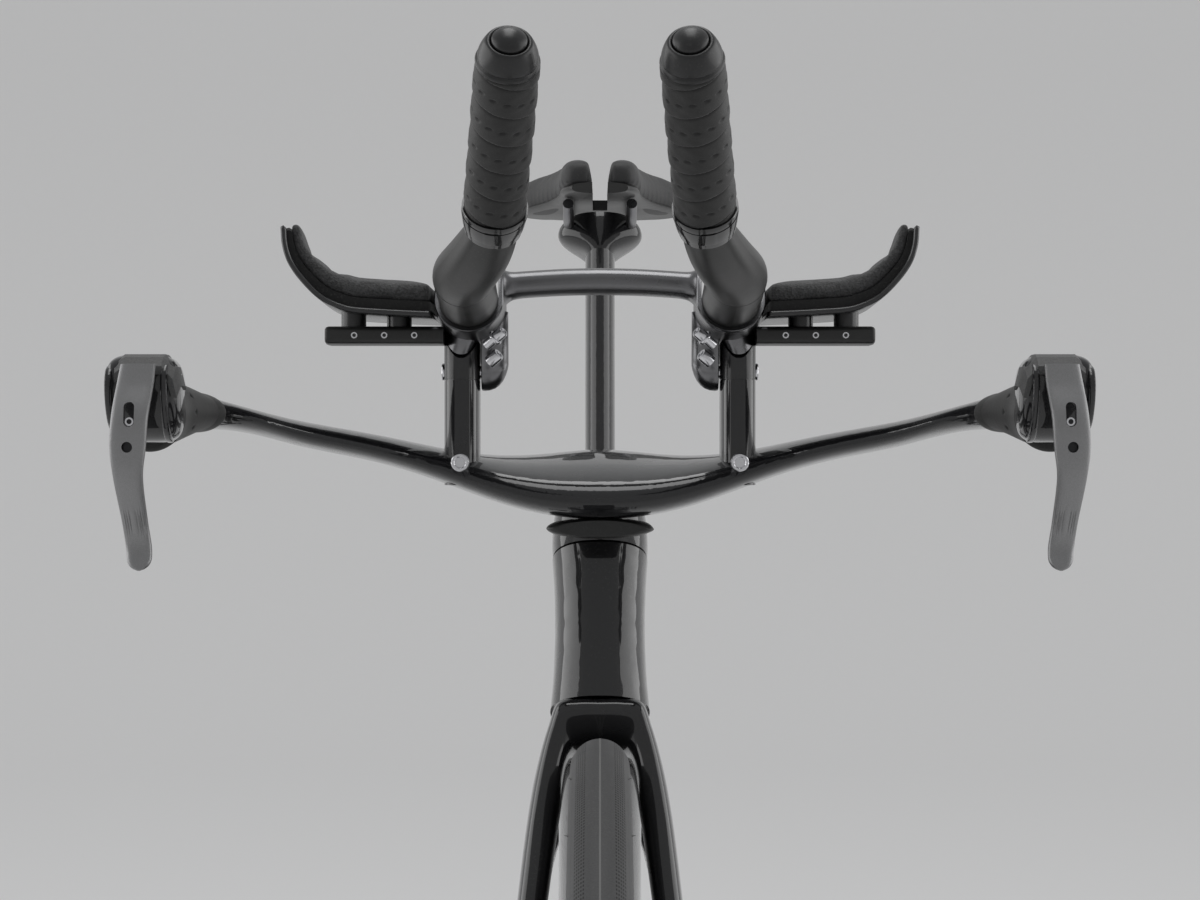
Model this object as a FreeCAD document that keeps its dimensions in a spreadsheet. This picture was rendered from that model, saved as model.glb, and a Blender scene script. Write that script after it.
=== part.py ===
"""Time trial bicycle made of separate named pieces in one shared frame.

Millimetres and degrees. +X is the rider's left, the front wheel points along -Y and +Z is up. The
origin lies on the ground halfway between the two axles.
"""
import FreeCAD
import Part
import Sketcher
import math
import os
from FreeCAD import Placement, Rotation, Vector

SIZES = {
    # stance
    "wheelbase": 1000.0,
    "wheel_radius": 336.0,
    "bottom_bracket_drop": 72.0,
    "stay_clearance": 79.0,
    "head_angle": 72.0,
    "fork_offset": 45.0,
    "seat_angle": 77.3,
    "running_fit": 0.06,
    # tyres and rims
    "tyre_width": 27.0,
    "tyre_wall": 2.4,
    "bead_depth": 6.5,
    "rim_width": 27.0,
    "rim_depth": 58.0,
    "rim_belly_depth": 36.0,
    "rim_belly_width": 23.0,
    "rim_tip_width": 9.0,
    "spoke_radius": 1.0,
    "spoke_sink": 3.0,
    # hubs and axles
    "axle_radius": 6.0,
    "axle_bore_radius": 3.5,
    "hub_cap_radius": 9.0,
    "hub_barrel_radius": 12.0,
    "hub_flange_radius": 21.0,
    "hub_flange_thickness": 4.0,
    "hub_end_gap": 0.3,
    "front_dropout_spacing": 100.0,
    "front_left_flange": 23.0,
    "front_right_flange": 34.0,
    "rear_left_flange": 36.0,
    "rear_flange_gap": 3.4,
    "freehub_end_gap": 6.0,
    "rotor_seat_radius": 17.0,
    "rotor_seat_length": 6.0,
    # discs and calipers
    "rotor_radius": 80.0,
    "rotor_thickness": 1.8,
    "rotor_band": 20.0,
    "rotor_vent_inset": 10.0,
    "rotor_window_inner": 25.0,
    "rotor_window_inner_width": 13.0,
    "rotor_window_outer_width": 46.0,
    "rotor_vent_radius": 2.6,
    "front_rotor_side": 37.0,
    "rear_rotor_side": 56.0,
    "caliper_width": 30.0,
    "caliper_depth": 26.0,
    "caliper_length": 56.0,
    "caliper_slot": 9.4,
    "caliper_slot_height": 30.0,
    "caliper_round": 4.0,
    "caliper_inset": 6.0,
    "front_caliper_behind": 24.0,
    "rear_caliper_ahead": 66.0,
    "rear_caliper_above": 17.0,
    "brake_pad_width": 22.0,
    "brake_pad_height": 15.0,
    "brake_pad_thickness": 3.4,
    "brake_pad_gap": 0.35,
    # frame
    "head_tube_length": 77.0,
    "crown_stack": 33.0,
    "head_tube_half_width": 24.5,
    "head_tube_half_chord": 37.0,
    "head_tube_setback": 8.0,
    "steerer_radius": 14.3,
    "bearing_radius": 19.5,
    "bearing_height": 7.0,
    "head_bore_radius": 16.5,
    "down_tube_half_chord": 37.0,
    "down_tube_half_width": 23.0,
    "down_tube_clearance": 48.0,
    "top_tube_drop": 40.2654,
    "top_tube_seat_drop": 24.0,
    "top_tube_half_height": 22.0,
    "top_tube_half_width": 17.0,
    "seat_tube_half_chord": 31.0,
    "seat_tube_half_width": 16.5,
    "seat_tube_rise": 508.0,
    "shell_radius": 27.0,
    "shell_width": 80.0,
    "cup_radius": 20.5,
    "spindle_radius": 12.0,
    "cup_length": 12.0,
    "cup_lip_radius": 22.0,
    "cup_lip_length": 4.0,
    "dropout_radius": 15.0,
    "dropout_thickness": 9.0,
    "hanger_drop": 30.0,
    "stay_bridge_drop": 174.0,
    "boss_radius": 2.5,
    "boss_depth": 14.0,
    "boss_spacing": 64.0,
    # fork
    "crown_thickness": 27.5,
    "crown_gap": 1.0,
    "crown_half_width": 24.0,
    "crown_half_chord": 35.0,
    "blade_half_width": 6.5,
    "blade_half_chord": 22.0,
    "fork_dropout_radius": 14.0,
    # base bar and stem
    "bar_half_span": 207.0,
    "bar_root_ahead": 17.3618,
    "bar_root_lift": 1.0944,
    "bar_reach": 115.0,
    "bar_rise": 35.5,
    "bar_root_half_chord": 55.0,
    "bar_root_half_thickness": 14.0,
    "bar_root_pitch": 9.0,
    "stem_length": 38.0,
    "stem_half_width": 23.5,
    "stem_half_chord": 39.0,
    "cover_half_width": 26.0,
    "cover_half_height": 5.0,
    "cover_drop": 21.5,
    "cover_depth": 22.0,
    "cover_ahead": 41.0,
    # risers
    "riser_side": 67.0,
    "riser_ahead": 25.0,
    "riser_half_width": 8.8,
    "riser_half_chord": 16.0,
    "riser_foot_lift": 1.5,
    "riser_top_wall": 8.0,
    "tilt_lift": 54.5,
    "tilt_pin_radius": 3.0,
    "lug_radius": 11.5,
    "lug_thickness": 14.6,
    "lug_gap": 0.6,
    "foot_bolt_radius": 4.3,
    "foot_bolt_lift": 9.0,
    "foot_bolt_proud": 12.0,
    # extensions
    "extension_radius": 14.0,
    "extension_side": 62.5,
    "extension_overhang": 80.0,
    "extension_lift": 20.0,
    "extension_straight": 178.0,
    "extension_pitch": 6.8,
    "grip_base_inset": 16.5,
    "grip_base_ahead": 182.0,
    "grip_base_lift": 57.0,
    "grip_tip_inset": 8.5,
    "grip_tip_ahead": 75.0,
    "grip_tip_lift": 62.0,
    "grip_core_radius": 11.2,
    "tape_build": 2.3,
    "tape_step": 0.7,
    "plug_length": 12.0,
    "plug_tip_radius": 9.2,
    "button_radius": 7.4,
    "button_fit": 0.08,
    "button_bore_depth": 7.0,
    "button_stem": 4.5,
    "button_dome": 4.2,
    "plug_lip": 0.4,
    # bridge, pads
    "cradle_length": 58.0,
    "cradle_wall": 2.6,
    "cradle_ahead": 12.0,
    "cradle_wall_height": 14.0,
    "crossbar_lift": 42.0,
    "crossbar_half_height": 6.5,
    "crossbar_half_depth": 12.5,
    "clamp_bolt_radius": 2.7,
    "clamp_bolt_length": 10.0,
    "rail_length": 56.8,
    "rail_height": 9.0,
    "rail_depth": 28.0,
    "rail_sink": 3.9,
    "rail_lift": 12.5,
    "rail_hole_radius": 1.7,
    "rail_hole_depth": 5.0,
    "rail_hole_spacing": 14.4,
    "rail_hole_start": 13.8,
    "pad_gap": 0.9,
    "pad_width": 69.0,
    "pad_rise": 40.0,
    "pad_ahead": 38.0,
    "pad_length": 104.0,
    "pad_thickness": 15.5,
    "carrier_thickness": 3.0,
    "carrier_overhang": 3.0,
    "standoff_radius": 6.0,
    "standoff_height": 3.5,
    "standoff_inset": 17.0,
    "standoff_spacing": 22.0,
    # brake levers
    "lever_inset": 0.5,
    "lever_pivot_ahead": 16.0,
    "lever_pivot_lift": 13.0,
    "lever_pin_radius": 2.5,
    "lever_tongue_radius": 7.0,
    "lever_tongue_half_width": 5.6,
    "lever_tongue_gap": 0.6,
    "lever_body_half_width": 17.0,
    "lever_body_height": 40.0,
    "lever_body_length": 31.0,
    "lever_body_drop": 29.0,
    "lever_body_round": 5.0,
    "lever_ahead": 22.0,
    "lever_top_lift": 6.0,
    "lever_drop": 92.0,
    "lever_half_width": 8.3,
    "lever_half_thickness": 2.3,
    "lever_bow": 8.0,
    "grip_sleeve_wall": 3.2,
    # saddle and post
    "post_half_width": 10.0,
    "post_half_chord": 24.0,
    "post_fit": 0.3,
    "post_sink": 170.0,
    "post_head_half_width": 28.0,
    "post_exposed": 180.0,
    "saddle_rail_radius": 3.5,
    "saddle_rail_side": 21.0,
    "saddle_nose_ahead": 106.3406,
    "saddle_stack": 41.0,
    "saddle_length": 245.0,
    "saddle_half_width": 67.0,
    "saddle_thickness": 24.0,
    "saddle_channel": 5.0,
    "shell_plate_half_thickness": 3.5,
    # drive
    "chain_pitch": 12.7,
    "roller_radius": 3.8,
    "roller_length": 3.0,
    "link_plate_thickness": 0.95,
    "link_plate_half_height": 4.0,
    "tooth_gap_radius": 5.8,
    "tooth_gap_lift": 1.8,
    "tooth_height": 2.0,
    "ring_thickness": 2.0,
    "cog_thickness": 1.6,
    "cog_spacing": 3.4,
    "freehub_radius": 14.0,
    "freehub_outer_reach": 21.0,
    "freehub_inner_reach": 21.6,
    "pulley_thickness": 2.2,
    "pulley_pin_radius": 3.0,
    "guide_setback": 13.0,
    "guide_drop": 96.0,
    "cage_length": 56.0,
    "cage_angle": 24.0,
    "cage_plate_half_width": 9.0,
    "cage_plate_thickness": 1.6,
    "cage_half_gap": 5.0,
    "cage_stub_radius": 4.0,
    "link_length": 38.0,
    "link_height": 14.0,
    "link_half_width": 8.0,
    "link_pin_radius": 2.5,
    "link_drop": 41.0,
    "link_setback": 17.0,
    "link_offset": 28.0,
    "knuckle_gap": 0.4,
    "knuckle_half_width": 9.0,
    "knuckle_plate": 6.0,
    # cranks and pedals
    "crank_length": 170.0,
    "crank_gap": 12.0,
    "crank_thickness": 14.0,
    "crank_boss_radius": 19.0,
    "crank_tip_radius": 12.0,
    "spider_radius": 34.0,
    "pedal_spindle_radius": 5.0,
    "pedal_spindle_length": 58.0,
    "pedal_gap": 5.0,
    "pedal_width": 52.0,
    "pedal_front": 40.0,
    "pedal_rear": 34.0,
    "pedal_half_height": 7.5,
    "pedal_nose_half_width": 15.0,
}

# Sizes that follow others: each is a formula on the same sheet.
FOLLOWING = {
    # running bores follow the shafts in them
    "hub_bore_radius": "axle_radius + running_fit",
    "bearing_bore_radius": "steerer_radius + running_fit",
    "spindle_bore_radius": "spindle_radius + running_fit",
    "tilt_pin_bore_radius": "tilt_pin_radius + running_fit",
    "lever_pin_bore_radius": "lever_pin_radius + running_fit",
    "freehub_bore_radius": "hub_cap_radius + running_fit",
    "pulley_bore_radius": "pulley_pin_radius + running_fit",
    "cage_stub_bore_radius": "cage_stub_radius + running_fit",
    "link_pin_bore_radius": "link_pin_radius + running_fit",
    "pedal_bore_radius": "pedal_spindle_radius + running_fit",
    "button_bore_radius": "button_radius + button_fit",
    # wheels and discs
    "rim_edge_radius": "wheel_radius - tyre_width / 2 - bead_depth",
    "rotor_window_outer": "rotor_radius - rotor_band",
    "rotor_vent_circle": "rotor_radius - rotor_vent_inset",
    "front_caliper_along": "rotor_radius - caliper_inset",
    # frame, from the wheels and the bottom bracket
    "chainstay_length": "wheel_radius + stay_clearance",
    "head_tube_bottom": "wheel_radius + crown_stack",
    "head_tube_top": "head_tube_bottom + head_tube_length",
    "down_tube_axle_reach": "wheel_radius + down_tube_clearance",
    "steerer_foot_height": "wheel_radius - fork_offset * cos(head_angle)",
    "steerer_foot_setback": "wheelbase / 2 - fork_offset * sin(head_angle)",
    "top_tube_height": "steerer_foot_height + head_tube_top * sin(head_angle) - top_tube_drop",
    "seat_tube_top": "wheel_radius - bottom_bracket_drop + seat_tube_rise",
    "top_tube_rise": "seat_tube_top - top_tube_seat_drop - top_tube_height",
    "stay_bridge_height": "seat_tube_top - stay_bridge_drop",
    # base bar on the steerer's head
    "stem_end": "head_tube_top + stem_length",
    "bar_root_setback": "steerer_foot_setback - stem_end * cos(head_angle) + bar_root_ahead",
    "bar_root_height": "steerer_foot_height + stem_end * sin(head_angle) + bar_root_lift",
    "cover_height": "bar_root_height - cover_drop",
    "cover_face": "bar_root_setback + cover_ahead",
    # risers on the bar, the tilting bridge on the risers
    "riser_setback": "bar_root_setback + riser_ahead",
    "riser_foot": "bar_root_height + riser_foot_lift",
    "tilt_height": "bar_root_height + tilt_lift",
    "riser_top": "tilt_height + riser_top_wall",
    "foot_bolt_height": "riser_foot + foot_bolt_lift",
    "foot_bolt_reach": "riser_setback + riser_half_chord + foot_bolt_proud",
    "lug_outer": "riser_side - riser_half_width - lug_gap",
    "lug_inner": "lug_outer - lug_thickness",
    "cradle_radius": "extension_radius + cradle_wall",
    "cradle_setback": "riser_setback + cradle_ahead",
    "crossbar_height": "tilt_height + crossbar_lift",
    # extensions, rails and arm pads on the bridge
    "extension_rear": "riser_setback - extension_overhang",
    "extension_rear_height": "tilt_height + extension_lift",
    "grip_base_side": "extension_side - grip_base_inset",
    "grip_base_reach": "riser_setback + grip_base_ahead",
    "grip_base_height": "tilt_height + grip_base_lift",
    "grip_tip_side": "grip_base_side - grip_tip_inset",
    "grip_tip_reach": "grip_base_reach + grip_tip_ahead",
    "grip_tip_height": "grip_base_height + grip_tip_lift",
    "tape_radius": "grip_core_radius + tape_build",
    "rail_start": "extension_side + cradle_radius - rail_sink",
    "rail_level": "tilt_height + rail_lift",
    "pad_inner_side": "extension_side + cradle_radius + pad_gap",
    "pad_base_height": "rail_level + rail_height + standoff_height + carrier_thickness",
    "pad_front": "riser_setback + pad_ahead",
    # brake levers at the bar's ends
    "lever_side": "bar_half_span - lever_inset",
    "lever_pivot_setback": "bar_root_setback + bar_reach + lever_pivot_ahead",
    "lever_pivot_height": "bar_root_height + bar_rise + lever_pivot_lift",
    "lever_slot_half_width": "lever_tongue_half_width + lever_tongue_gap",
    "lever_body_base": "lever_pivot_height - lever_body_drop",
    "lever_reach": "lever_pivot_setback + lever_ahead",
    "lever_top": "lever_pivot_height + lever_top_lift",
    # saddle on the post, post in the seat tube
    "bracket_height": "wheel_radius - bottom_bracket_drop",
    "bracket_setback": "wheelbase / 2 - sqrt(chainstay_length ^ 2 - bottom_bracket_drop ^ 2)",
    "clamp_height": "seat_tube_top + post_exposed",
    "clamp_setback": "bracket_setback + (clamp_height - bracket_height) / tan(seat_angle)",
    "saddle_nose": "clamp_setback - saddle_nose_ahead",
    "saddle_top": "clamp_height + saddle_stack",
    # drive line, out from the bottom bracket
    "chain_side": "shell_width / 2 + cup_lip_length",
    "crank_inner_side": "chain_side + crank_gap",
    "freehub_outer": "chain_side + freehub_outer_reach",
    "freehub_inner": "chain_side - freehub_inner_reach",
    "rear_right_flange": "freehub_inner - rear_flange_gap",
    "rear_dropout_spacing": "(freehub_outer + freehub_end_gap) * 2",
    "link_side": "chain_side + link_offset",
    "ring_bore_radius": "spider_radius",
    "link_level": "wheel_radius - link_drop",
}

RING_TEETH = 50
COG_TEETH = (11, 12, 13, 14, 15, 16, 17, 19, 21, 24, 27, 30)
CHAIN_COG = 5
PULLEY_TEETH = 12
SPOKE_COUNT = 20
SPOKE_LEAN = 34.0
VENT_COUNT = 24
WINDOW_COUNT = 6
TAPE_WRAPS = 7
RAIL_HOLES = 3
FULL_TURN = 360.0
OVAL_POINTS = 16

AXIS_X = Vector(1, 0, 0)
AXIS_Y = Vector(0, 1, 0)
AXIS_Z = Vector(0, 0, 1)
MIDDLE = Vector(0, 0, 0)

doc = FreeCAD.newDocument("TimeTrialBike")
sheet = doc.addObject("Spreadsheet::Sheet", "Sizes")
rows = [(alias, str(value)) for alias, value in SIZES.items()]
rows += [(alias, "=" + text) for alias, text in FOLLOWING.items()]
for row, (alias, text) in enumerate(rows, start=1):
    sheet.set("A%d" % row, alias)
    sheet.set("B%d" % row, text)
    sheet.setAlias("B%d" % row, alias)
doc.recompute()


class Dimensions:
    """Reads a driving size from the sheet by its alias."""

    def __getattr__(self, alias):
        return float(sheet.get(alias))


dim = Dimensions()
pieces = {}


def amount(text):
    """Value of a sum of aliases such as 'rim_edge_radius - rim_depth/2'."""
    total = 0.0
    sign = 1.0
    for token in text.split():
        if token == "+":
            sign = 1.0
        elif token == "-":
            sign = -1.0
        elif token != "0":
            alias, _, divisor = token.partition("/")
            total += sign * float(sheet.get(alias)) / (float(divisor) if divisor else 1.0)
    return total


def formula(text):
    """The same sum as an expression on the sheet."""
    return " ".join("Sizes." + token if token[0].isalpha() else token for token in text.split())


def keep(label, made):
    """Name a finished object as one node of the assembly."""
    made.Label = label
    pieces[label] = made
    return made


def solid(label, shape):
    """Hold a computed shape as a named node."""
    made = doc.addObject("Part::Feature", label)
    made.Shape = shape
    return keep(label, made)


def mirrored(shape):
    """The same shape on the rider's other side."""
    return shape.mirror(MIDDLE, AXIS_X)


def both(shape):
    """A shape with its mirror image."""
    return Part.makeCompound([shape, mirrored(shape)])


def sided(point, side):
    """A point of the left side taken to the given side."""
    return Vector(point.x * side, point.y, point.z)


def rod(name, radius, length, start, axis):
    """Cylinder bound to the sheet, from a start point along an axis."""
    made = doc.addObject("Part::Cylinder", name)
    made.setExpression("Radius", formula(radius))
    made.setExpression("Height", formula(length))
    made.Placement = Placement(start, Rotation(AXIS_Z, axis))
    return made


def joined(name, parts):
    """Union of several objects."""
    made = doc.addObject("Part::MultiFuse", name)
    made.Shapes = parts
    return made


def less(name, base, tool):
    """One object with another taken away."""
    made = doc.addObject("Part::Cut", name)
    made.Base = base
    made.Tool = tool
    return made


def origin_plane(body, role):
    """One of a body's own origin planes."""
    return next(item for item in body.Origin.OriginFeatures if item.Role == role)


def outline_sketch(body, name, role, outline):
    """Closed polygon whose corners are bound to sums of sizes."""
    sketch = body.newObject("Sketcher::SketchObject", name)
    sketch.AttachmentSupport = (origin_plane(body, role), [""])
    sketch.MapMode = "FlatFace"
    corners = [Vector(amount(across), amount(up), 0) for across, up in outline]
    count = len(corners)
    for k in range(count):
        sketch.addGeometry(Part.LineSegment(corners[k], corners[(k + 1) % count]))
    for k in range(count):
        sketch.addConstraint(Sketcher.Constraint("Coincident", k, 2, (k + 1) % count, 1))
    for k in range(count):
        for kind, tag, text, value in (("DistanceX", "across", outline[k][0], corners[k].x),
                                       ("DistanceY", "up", outline[k][1], corners[k].y)):
            index = sketch.addConstraint(Sketcher.Constraint(kind, -1, 1, k, 1, value))
            title = "%s%d" % (tag, k)
            sketch.renameConstraint(index, title)
            sketch.setExpression("Constraints." + title, formula(text))
    return sketch


def circle_sketch(body, name, role, circles):
    """Circles given as (across, up, radius) sums of sizes."""
    sketch = body.newObject("Sketcher::SketchObject", name)
    sketch.AttachmentSupport = (origin_plane(body, role), [""])
    sketch.MapMode = "FlatFace"
    for k, (across, up, radius) in enumerate(circles):
        centre = Vector(amount(across), amount(up), 0)
        sketch.addGeometry(Part.Circle(centre, AXIS_Z, amount(radius)))
        for kind, tag, text, value in (("DistanceX", "across", across, centre.x),
                                       ("DistanceY", "up", up, centre.y)):
            index = sketch.addConstraint(Sketcher.Constraint(kind, -1, 1, k, 3, value))
            title = "%s%d" % (tag, k)
            sketch.renameConstraint(index, title)
            sketch.setExpression("Constraints." + title, formula(text))
        index = sketch.addConstraint(Sketcher.Constraint("Radius", k, amount(radius)))
        sketch.renameConstraint(index, "radius%d" % k)
        sketch.setExpression("Constraints.radius%d" % k, formula(radius))
    return sketch


def turned(name, outline, centre, axis):
    """Body of revolution from a (radius, along) outline."""
    body = doc.addObject("PartDesign::Body", name)
    sketch = outline_sketch(body, name + "_outline", "XZ_Plane", outline)
    turn = body.newObject("PartDesign::Revolution", name + "_turn")
    turn.Profile = sketch
    turn.ReferenceAxis = (sketch, ["V_Axis"])
    turn.Angle = FULL_TURN
    body.Placement = Placement(centre, Rotation(AXIS_Z, axis))
    return body


def pocket_through(body, name, sketch):
    """Pocket along the sketch's normal through the whole body."""
    cut = body.newObject("PartDesign::Pocket", name)
    cut.Profile = sketch
    cut.Type = 1
    cut.Reversed = True
    return cut


def polar(body, name, original, sketch, count):
    """Copies of a pocket about the body's axis."""
    pattern = body.newObject("PartDesign::PolarPattern", name)
    pattern.Originals = [original]
    pattern.Axis = (sketch, ["N_Axis"])
    pattern.Angle = FULL_TURN
    pattern.Occurrences = count
    body.Tip = pattern
    return pattern


def oval(centre, across, along, half_across, half_along, power=2.0):
    """Closed smooth section, an ellipse at power 2 and squarer above it."""
    points = []
    for k in range(OVAL_POINTS):
        turn = 2.0 * math.pi * k / OVAL_POINTS
        cosine = math.cos(turn)
        sine = math.sin(turn)
        u = math.copysign(abs(cosine) ** (2.0 / power), cosine)
        v = math.copysign(abs(sine) ** (2.0 / power), sine)
        points.append(centre + across * (half_across * u) + along * (half_along * v))
    spline = Part.BSplineCurve()
    spline.interpolate(points, PeriodicFlag=True)
    return Part.Wire([spline.toShape()])


def skin(wires, ruled=False):
    """Closed solid through sections."""
    made = Part.makeLoft(wires, True, ruled)
    if made.Volume < 0:
        made.reverse()
    return made


def directions(points):
    """Unit direction of a path at each of its points."""
    found = []
    for k in range(len(points)):
        before = points[max(k - 1, 0)]
        after = points[min(k + 1, len(points) - 1)]
        step = after - before
        found.append(step.normalize())
    return found


def tube(points, radii, first=None, last=None):
    """Round tube of changing radius along a path, with set end directions when given."""
    wires = []
    ways = directions(points)
    ways[0] = first or ways[0]
    ways[-1] = last or ways[-1]
    for point, radius, way in zip(points, radii, ways):
        side = AXIS_X - way * AXIS_X.dot(way)
        side.normalize()
        wires.append(oval(point, side, way.cross(side), radius, radius))
    return skin(wires)


def fused(shapes):
    """Union of shapes as one solid."""
    whole = shapes[0]
    for shape in shapes[1:]:
        whole = whole.fuse(shape)
    return whole


def spun(profile, centre, axis):
    """Ring turned from a (radius, along) profile about an axis."""
    corners = [Vector(radius, 0, along) for radius, along in profile]
    face = Part.Face(Part.makePolygon(corners + [corners[0]]))
    ring = face.revolve(MIDDLE, AXIS_Z, FULL_TURN)
    ring.Placement = Placement(centre, Rotation(AXIS_Z, axis))
    return ring


def slab(points, start, depth):
    """Flat plate in the side view, from one side position across a depth."""
    corners = [Vector(start, y, z) for y, z in points]
    face = Part.Face(Part.makePolygon(corners + [corners[0]]))
    return face.extrude(Vector(depth, 0, 0))


# Main points of the bike in its side view.
front_axle = Vector(0, -dim.wheelbase / 2, dim.wheel_radius)
rear_axle = Vector(0, dim.wheelbase / 2, dim.wheel_radius)
shell_run = math.sqrt(dim.chainstay_length ** 2 - dim.bottom_bracket_drop ** 2)
bracket = rear_axle + Vector(0, -shell_run, -dim.bottom_bracket_drop)
head_turn = math.radians(dim.head_angle)
steer_up = Vector(0, math.cos(head_turn), math.sin(head_turn))
steer_ahead = Vector(0, -math.sin(head_turn), math.cos(head_turn))
steer_foot = front_axle - steer_ahead * dim.fork_offset
seat_turn = math.radians(dim.seat_angle)
seat_up = Vector(0, math.cos(seat_turn), math.sin(seat_turn))
seat_back = Vector(0, math.sin(seat_turn), -math.cos(seat_turn))


def on_steerer(along, ahead=0.0, side=0.0):
    """Point in the steering frame: along the axis, ahead of it and to the left."""
    return steer_foot + steer_up * along + steer_ahead * ahead + AXIS_X * side


def on_seat_tube(height, back=0.0):
    """Point of the seat tube's axis at a height above the ground."""
    along = (height - bracket.z) / seat_up.z
    return bracket + seat_up * along + seat_back * back


# Wheels: tyre, rim, hub, spokes and disc at each end.
def tyre(label, centre):
    """Open tyre casing that sits on the rim's edge."""
    parts = []
    for name, wall in (("casing", "0"), ("inside", "tyre_wall")):
        ring = doc.addObject("Part::Torus", label + "_" + name)
        ring.setExpression("Radius1", formula("wheel_radius - tyre_width/2"))
        ring.setExpression("Radius2", formula("tyre_width/2 - " + wall))
        ring.Placement = Placement(centre, Rotation(AXIS_Z, AXIS_X))
        parts.append(ring)
    seat = rod(label + "_seat", "rim_edge_radius", "tyre_width + tyre_width",
               centre - AXIS_X * dim.tyre_width, AXIS_X)
    hollow = joined(label + "_hollow", [parts[1], seat])
    return keep(label, less(label, parts[0], hollow))


def rim(label, centre):
    """Deep rim with a swelling flank."""
    outline = (
        ("rim_edge_radius", "- rim_width/2"),
        ("rim_edge_radius", "rim_width/2"),
        ("rim_edge_radius - rim_belly_depth/2", "rim_width/2"),
        ("rim_edge_radius - rim_belly_depth", "rim_belly_width/2"),
        ("rim_edge_radius - rim_depth", "rim_tip_width/2"),
        ("rim_edge_radius - rim_depth", "- rim_tip_width/2"),
        ("rim_edge_radius - rim_belly_depth", "- rim_belly_width/2"),
        ("rim_edge_radius - rim_belly_depth/2", "- rim_width/2"),
    )
    return keep(label, turned(label, outline, centre, AXIS_X))


def hub(label, centre, spacing, left_flange, right_flange, rotor_side):
    """Hub shell with two flanges and a seat for the disc on the left."""
    end = spacing + "/2 - hub_end_gap"
    tip = "- " + spacing + "/2 + hub_end_gap"
    thick = "hub_flange_thickness/2"
    seat = "rotor_seat_length/2"
    outline = (
        ("hub_bore_radius", tip),
        ("hub_cap_radius", tip),
        ("hub_cap_radius", "- %s - %s" % (right_flange, thick)),
        ("hub_flange_radius", "- %s - %s" % (right_flange, thick)),
        ("hub_flange_radius", "- %s + %s" % (right_flange, thick)),
        ("hub_barrel_radius", "- %s + %s" % (right_flange, thick)),
        ("hub_barrel_radius", "%s - %s" % (left_flange, thick)),
        ("hub_flange_radius", "%s - %s" % (left_flange, thick)),
        ("hub_flange_radius", "%s + %s" % (left_flange, thick)),
        ("hub_barrel_radius", "%s + %s" % (left_flange, thick)),
        ("hub_barrel_radius", "%s - %s" % (rotor_side, seat)),
        ("rotor_seat_radius", "%s - %s" % (rotor_side, seat)),
        ("rotor_seat_radius", "%s + %s" % (rotor_side, seat)),
        ("hub_cap_radius", "%s + %s" % (rotor_side, seat)),
        ("hub_cap_radius", end),
        ("hub_bore_radius", end),
    )
    return keep(label, turned(label, outline, centre, AXIS_X))


def spokes(label, centre, left_flange, right_flange):
    """Straight spokes, each side leaning its own way so that none cross."""
    made = []
    outer = dim.rim_edge_radius - dim.rim_depth + dim.spoke_sink
    inner = dim.hub_flange_radius - dim.spoke_sink
    for k in range(SPOKE_COUNT):
        side = 1 if k % 2 else -1
        reach = left_flange if side > 0 else right_flange
        rim_turn = math.radians(FULL_TURN * k / SPOKE_COUNT)
        hub_turn = rim_turn + math.radians(SPOKE_LEAN) * side
        start = centre + Vector(side * reach, inner * math.cos(hub_turn), inner * math.sin(hub_turn))
        stop = centre + Vector(0, outer * math.cos(rim_turn), outer * math.sin(rim_turn))
        run = stop - start
        made.append(Part.makeCylinder(dim.spoke_radius, run.Length, start, run))
    return solid(label, Part.makeCompound(made))


def rotor(label, centre, side):
    """Brake disc with spider windows and vent holes."""
    body = doc.addObject("PartDesign::Body", label)
    ring = circle_sketch(body, label + "_ring", "YZ_Plane",
                         (("0", "0", "rotor_radius"), ("0", "0", "rotor_seat_radius")))
    pad = body.newObject("PartDesign::Pad", label + "_pad")
    pad.Profile = ring
    pad.setExpression("Length", formula("rotor_thickness"))
    doc.recompute()
    window = outline_sketch(body, label + "_window", "YZ_Plane", (
        ("rotor_window_inner", "- rotor_window_inner_width/2"),
        ("rotor_window_outer", "- rotor_window_outer_width/2"),
        ("rotor_window_outer", "rotor_window_outer_width/2"),
        ("rotor_window_inner", "rotor_window_inner_width/2")))
    first = pocket_through(body, label + "_opening", window)
    doc.recompute()
    polar(body, label + "_openings", first, window, WINDOW_COUNT)
    doc.recompute()
    vent = circle_sketch(body, label + "_vent", "YZ_Plane", (("rotor_vent_circle", "0", "rotor_vent_radius"),))
    hole = pocket_through(body, label + "_hole", vent)
    doc.recompute()
    polar(body, label + "_holes", hole, vent, VENT_COUNT)
    body.Placement = Placement(centre + AXIS_X * (side - dim.rotor_thickness / 2), Rotation())
    return keep(label, body)


for end, centre, spacing, rotor_side in (("front", front_axle, "front_dropout_spacing", "front_rotor_side"),
                                         ("rear", rear_axle, "rear_dropout_spacing", "rear_rotor_side")):
    left = end + "_left_flange"
    right = end + "_right_flange"
    tyre(end + "_tyre", centre)
    rim(end + "_rim", centre)
    hub(end + "_hub", centre, spacing, left, right, rotor_side)
    spokes(end + "_spokes", centre, amount(left), amount(right))
    rotor(end + "_rotor", centre, amount(rotor_side))
    outer = spacing + "/2 + dropout_thickness"
    pin = rod(end + "_axle_pin", "axle_radius", outer + " + " + outer,
              centre - AXIS_X * amount(outer), AXIS_X)
    drill = rod(end + "_axle_drill", "axle_bore_radius", outer + " + " + outer,
                centre - AXIS_X * amount(outer), AXIS_X)
    keep(end + "_axle", less(end + "_axle", pin, drill))


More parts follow.
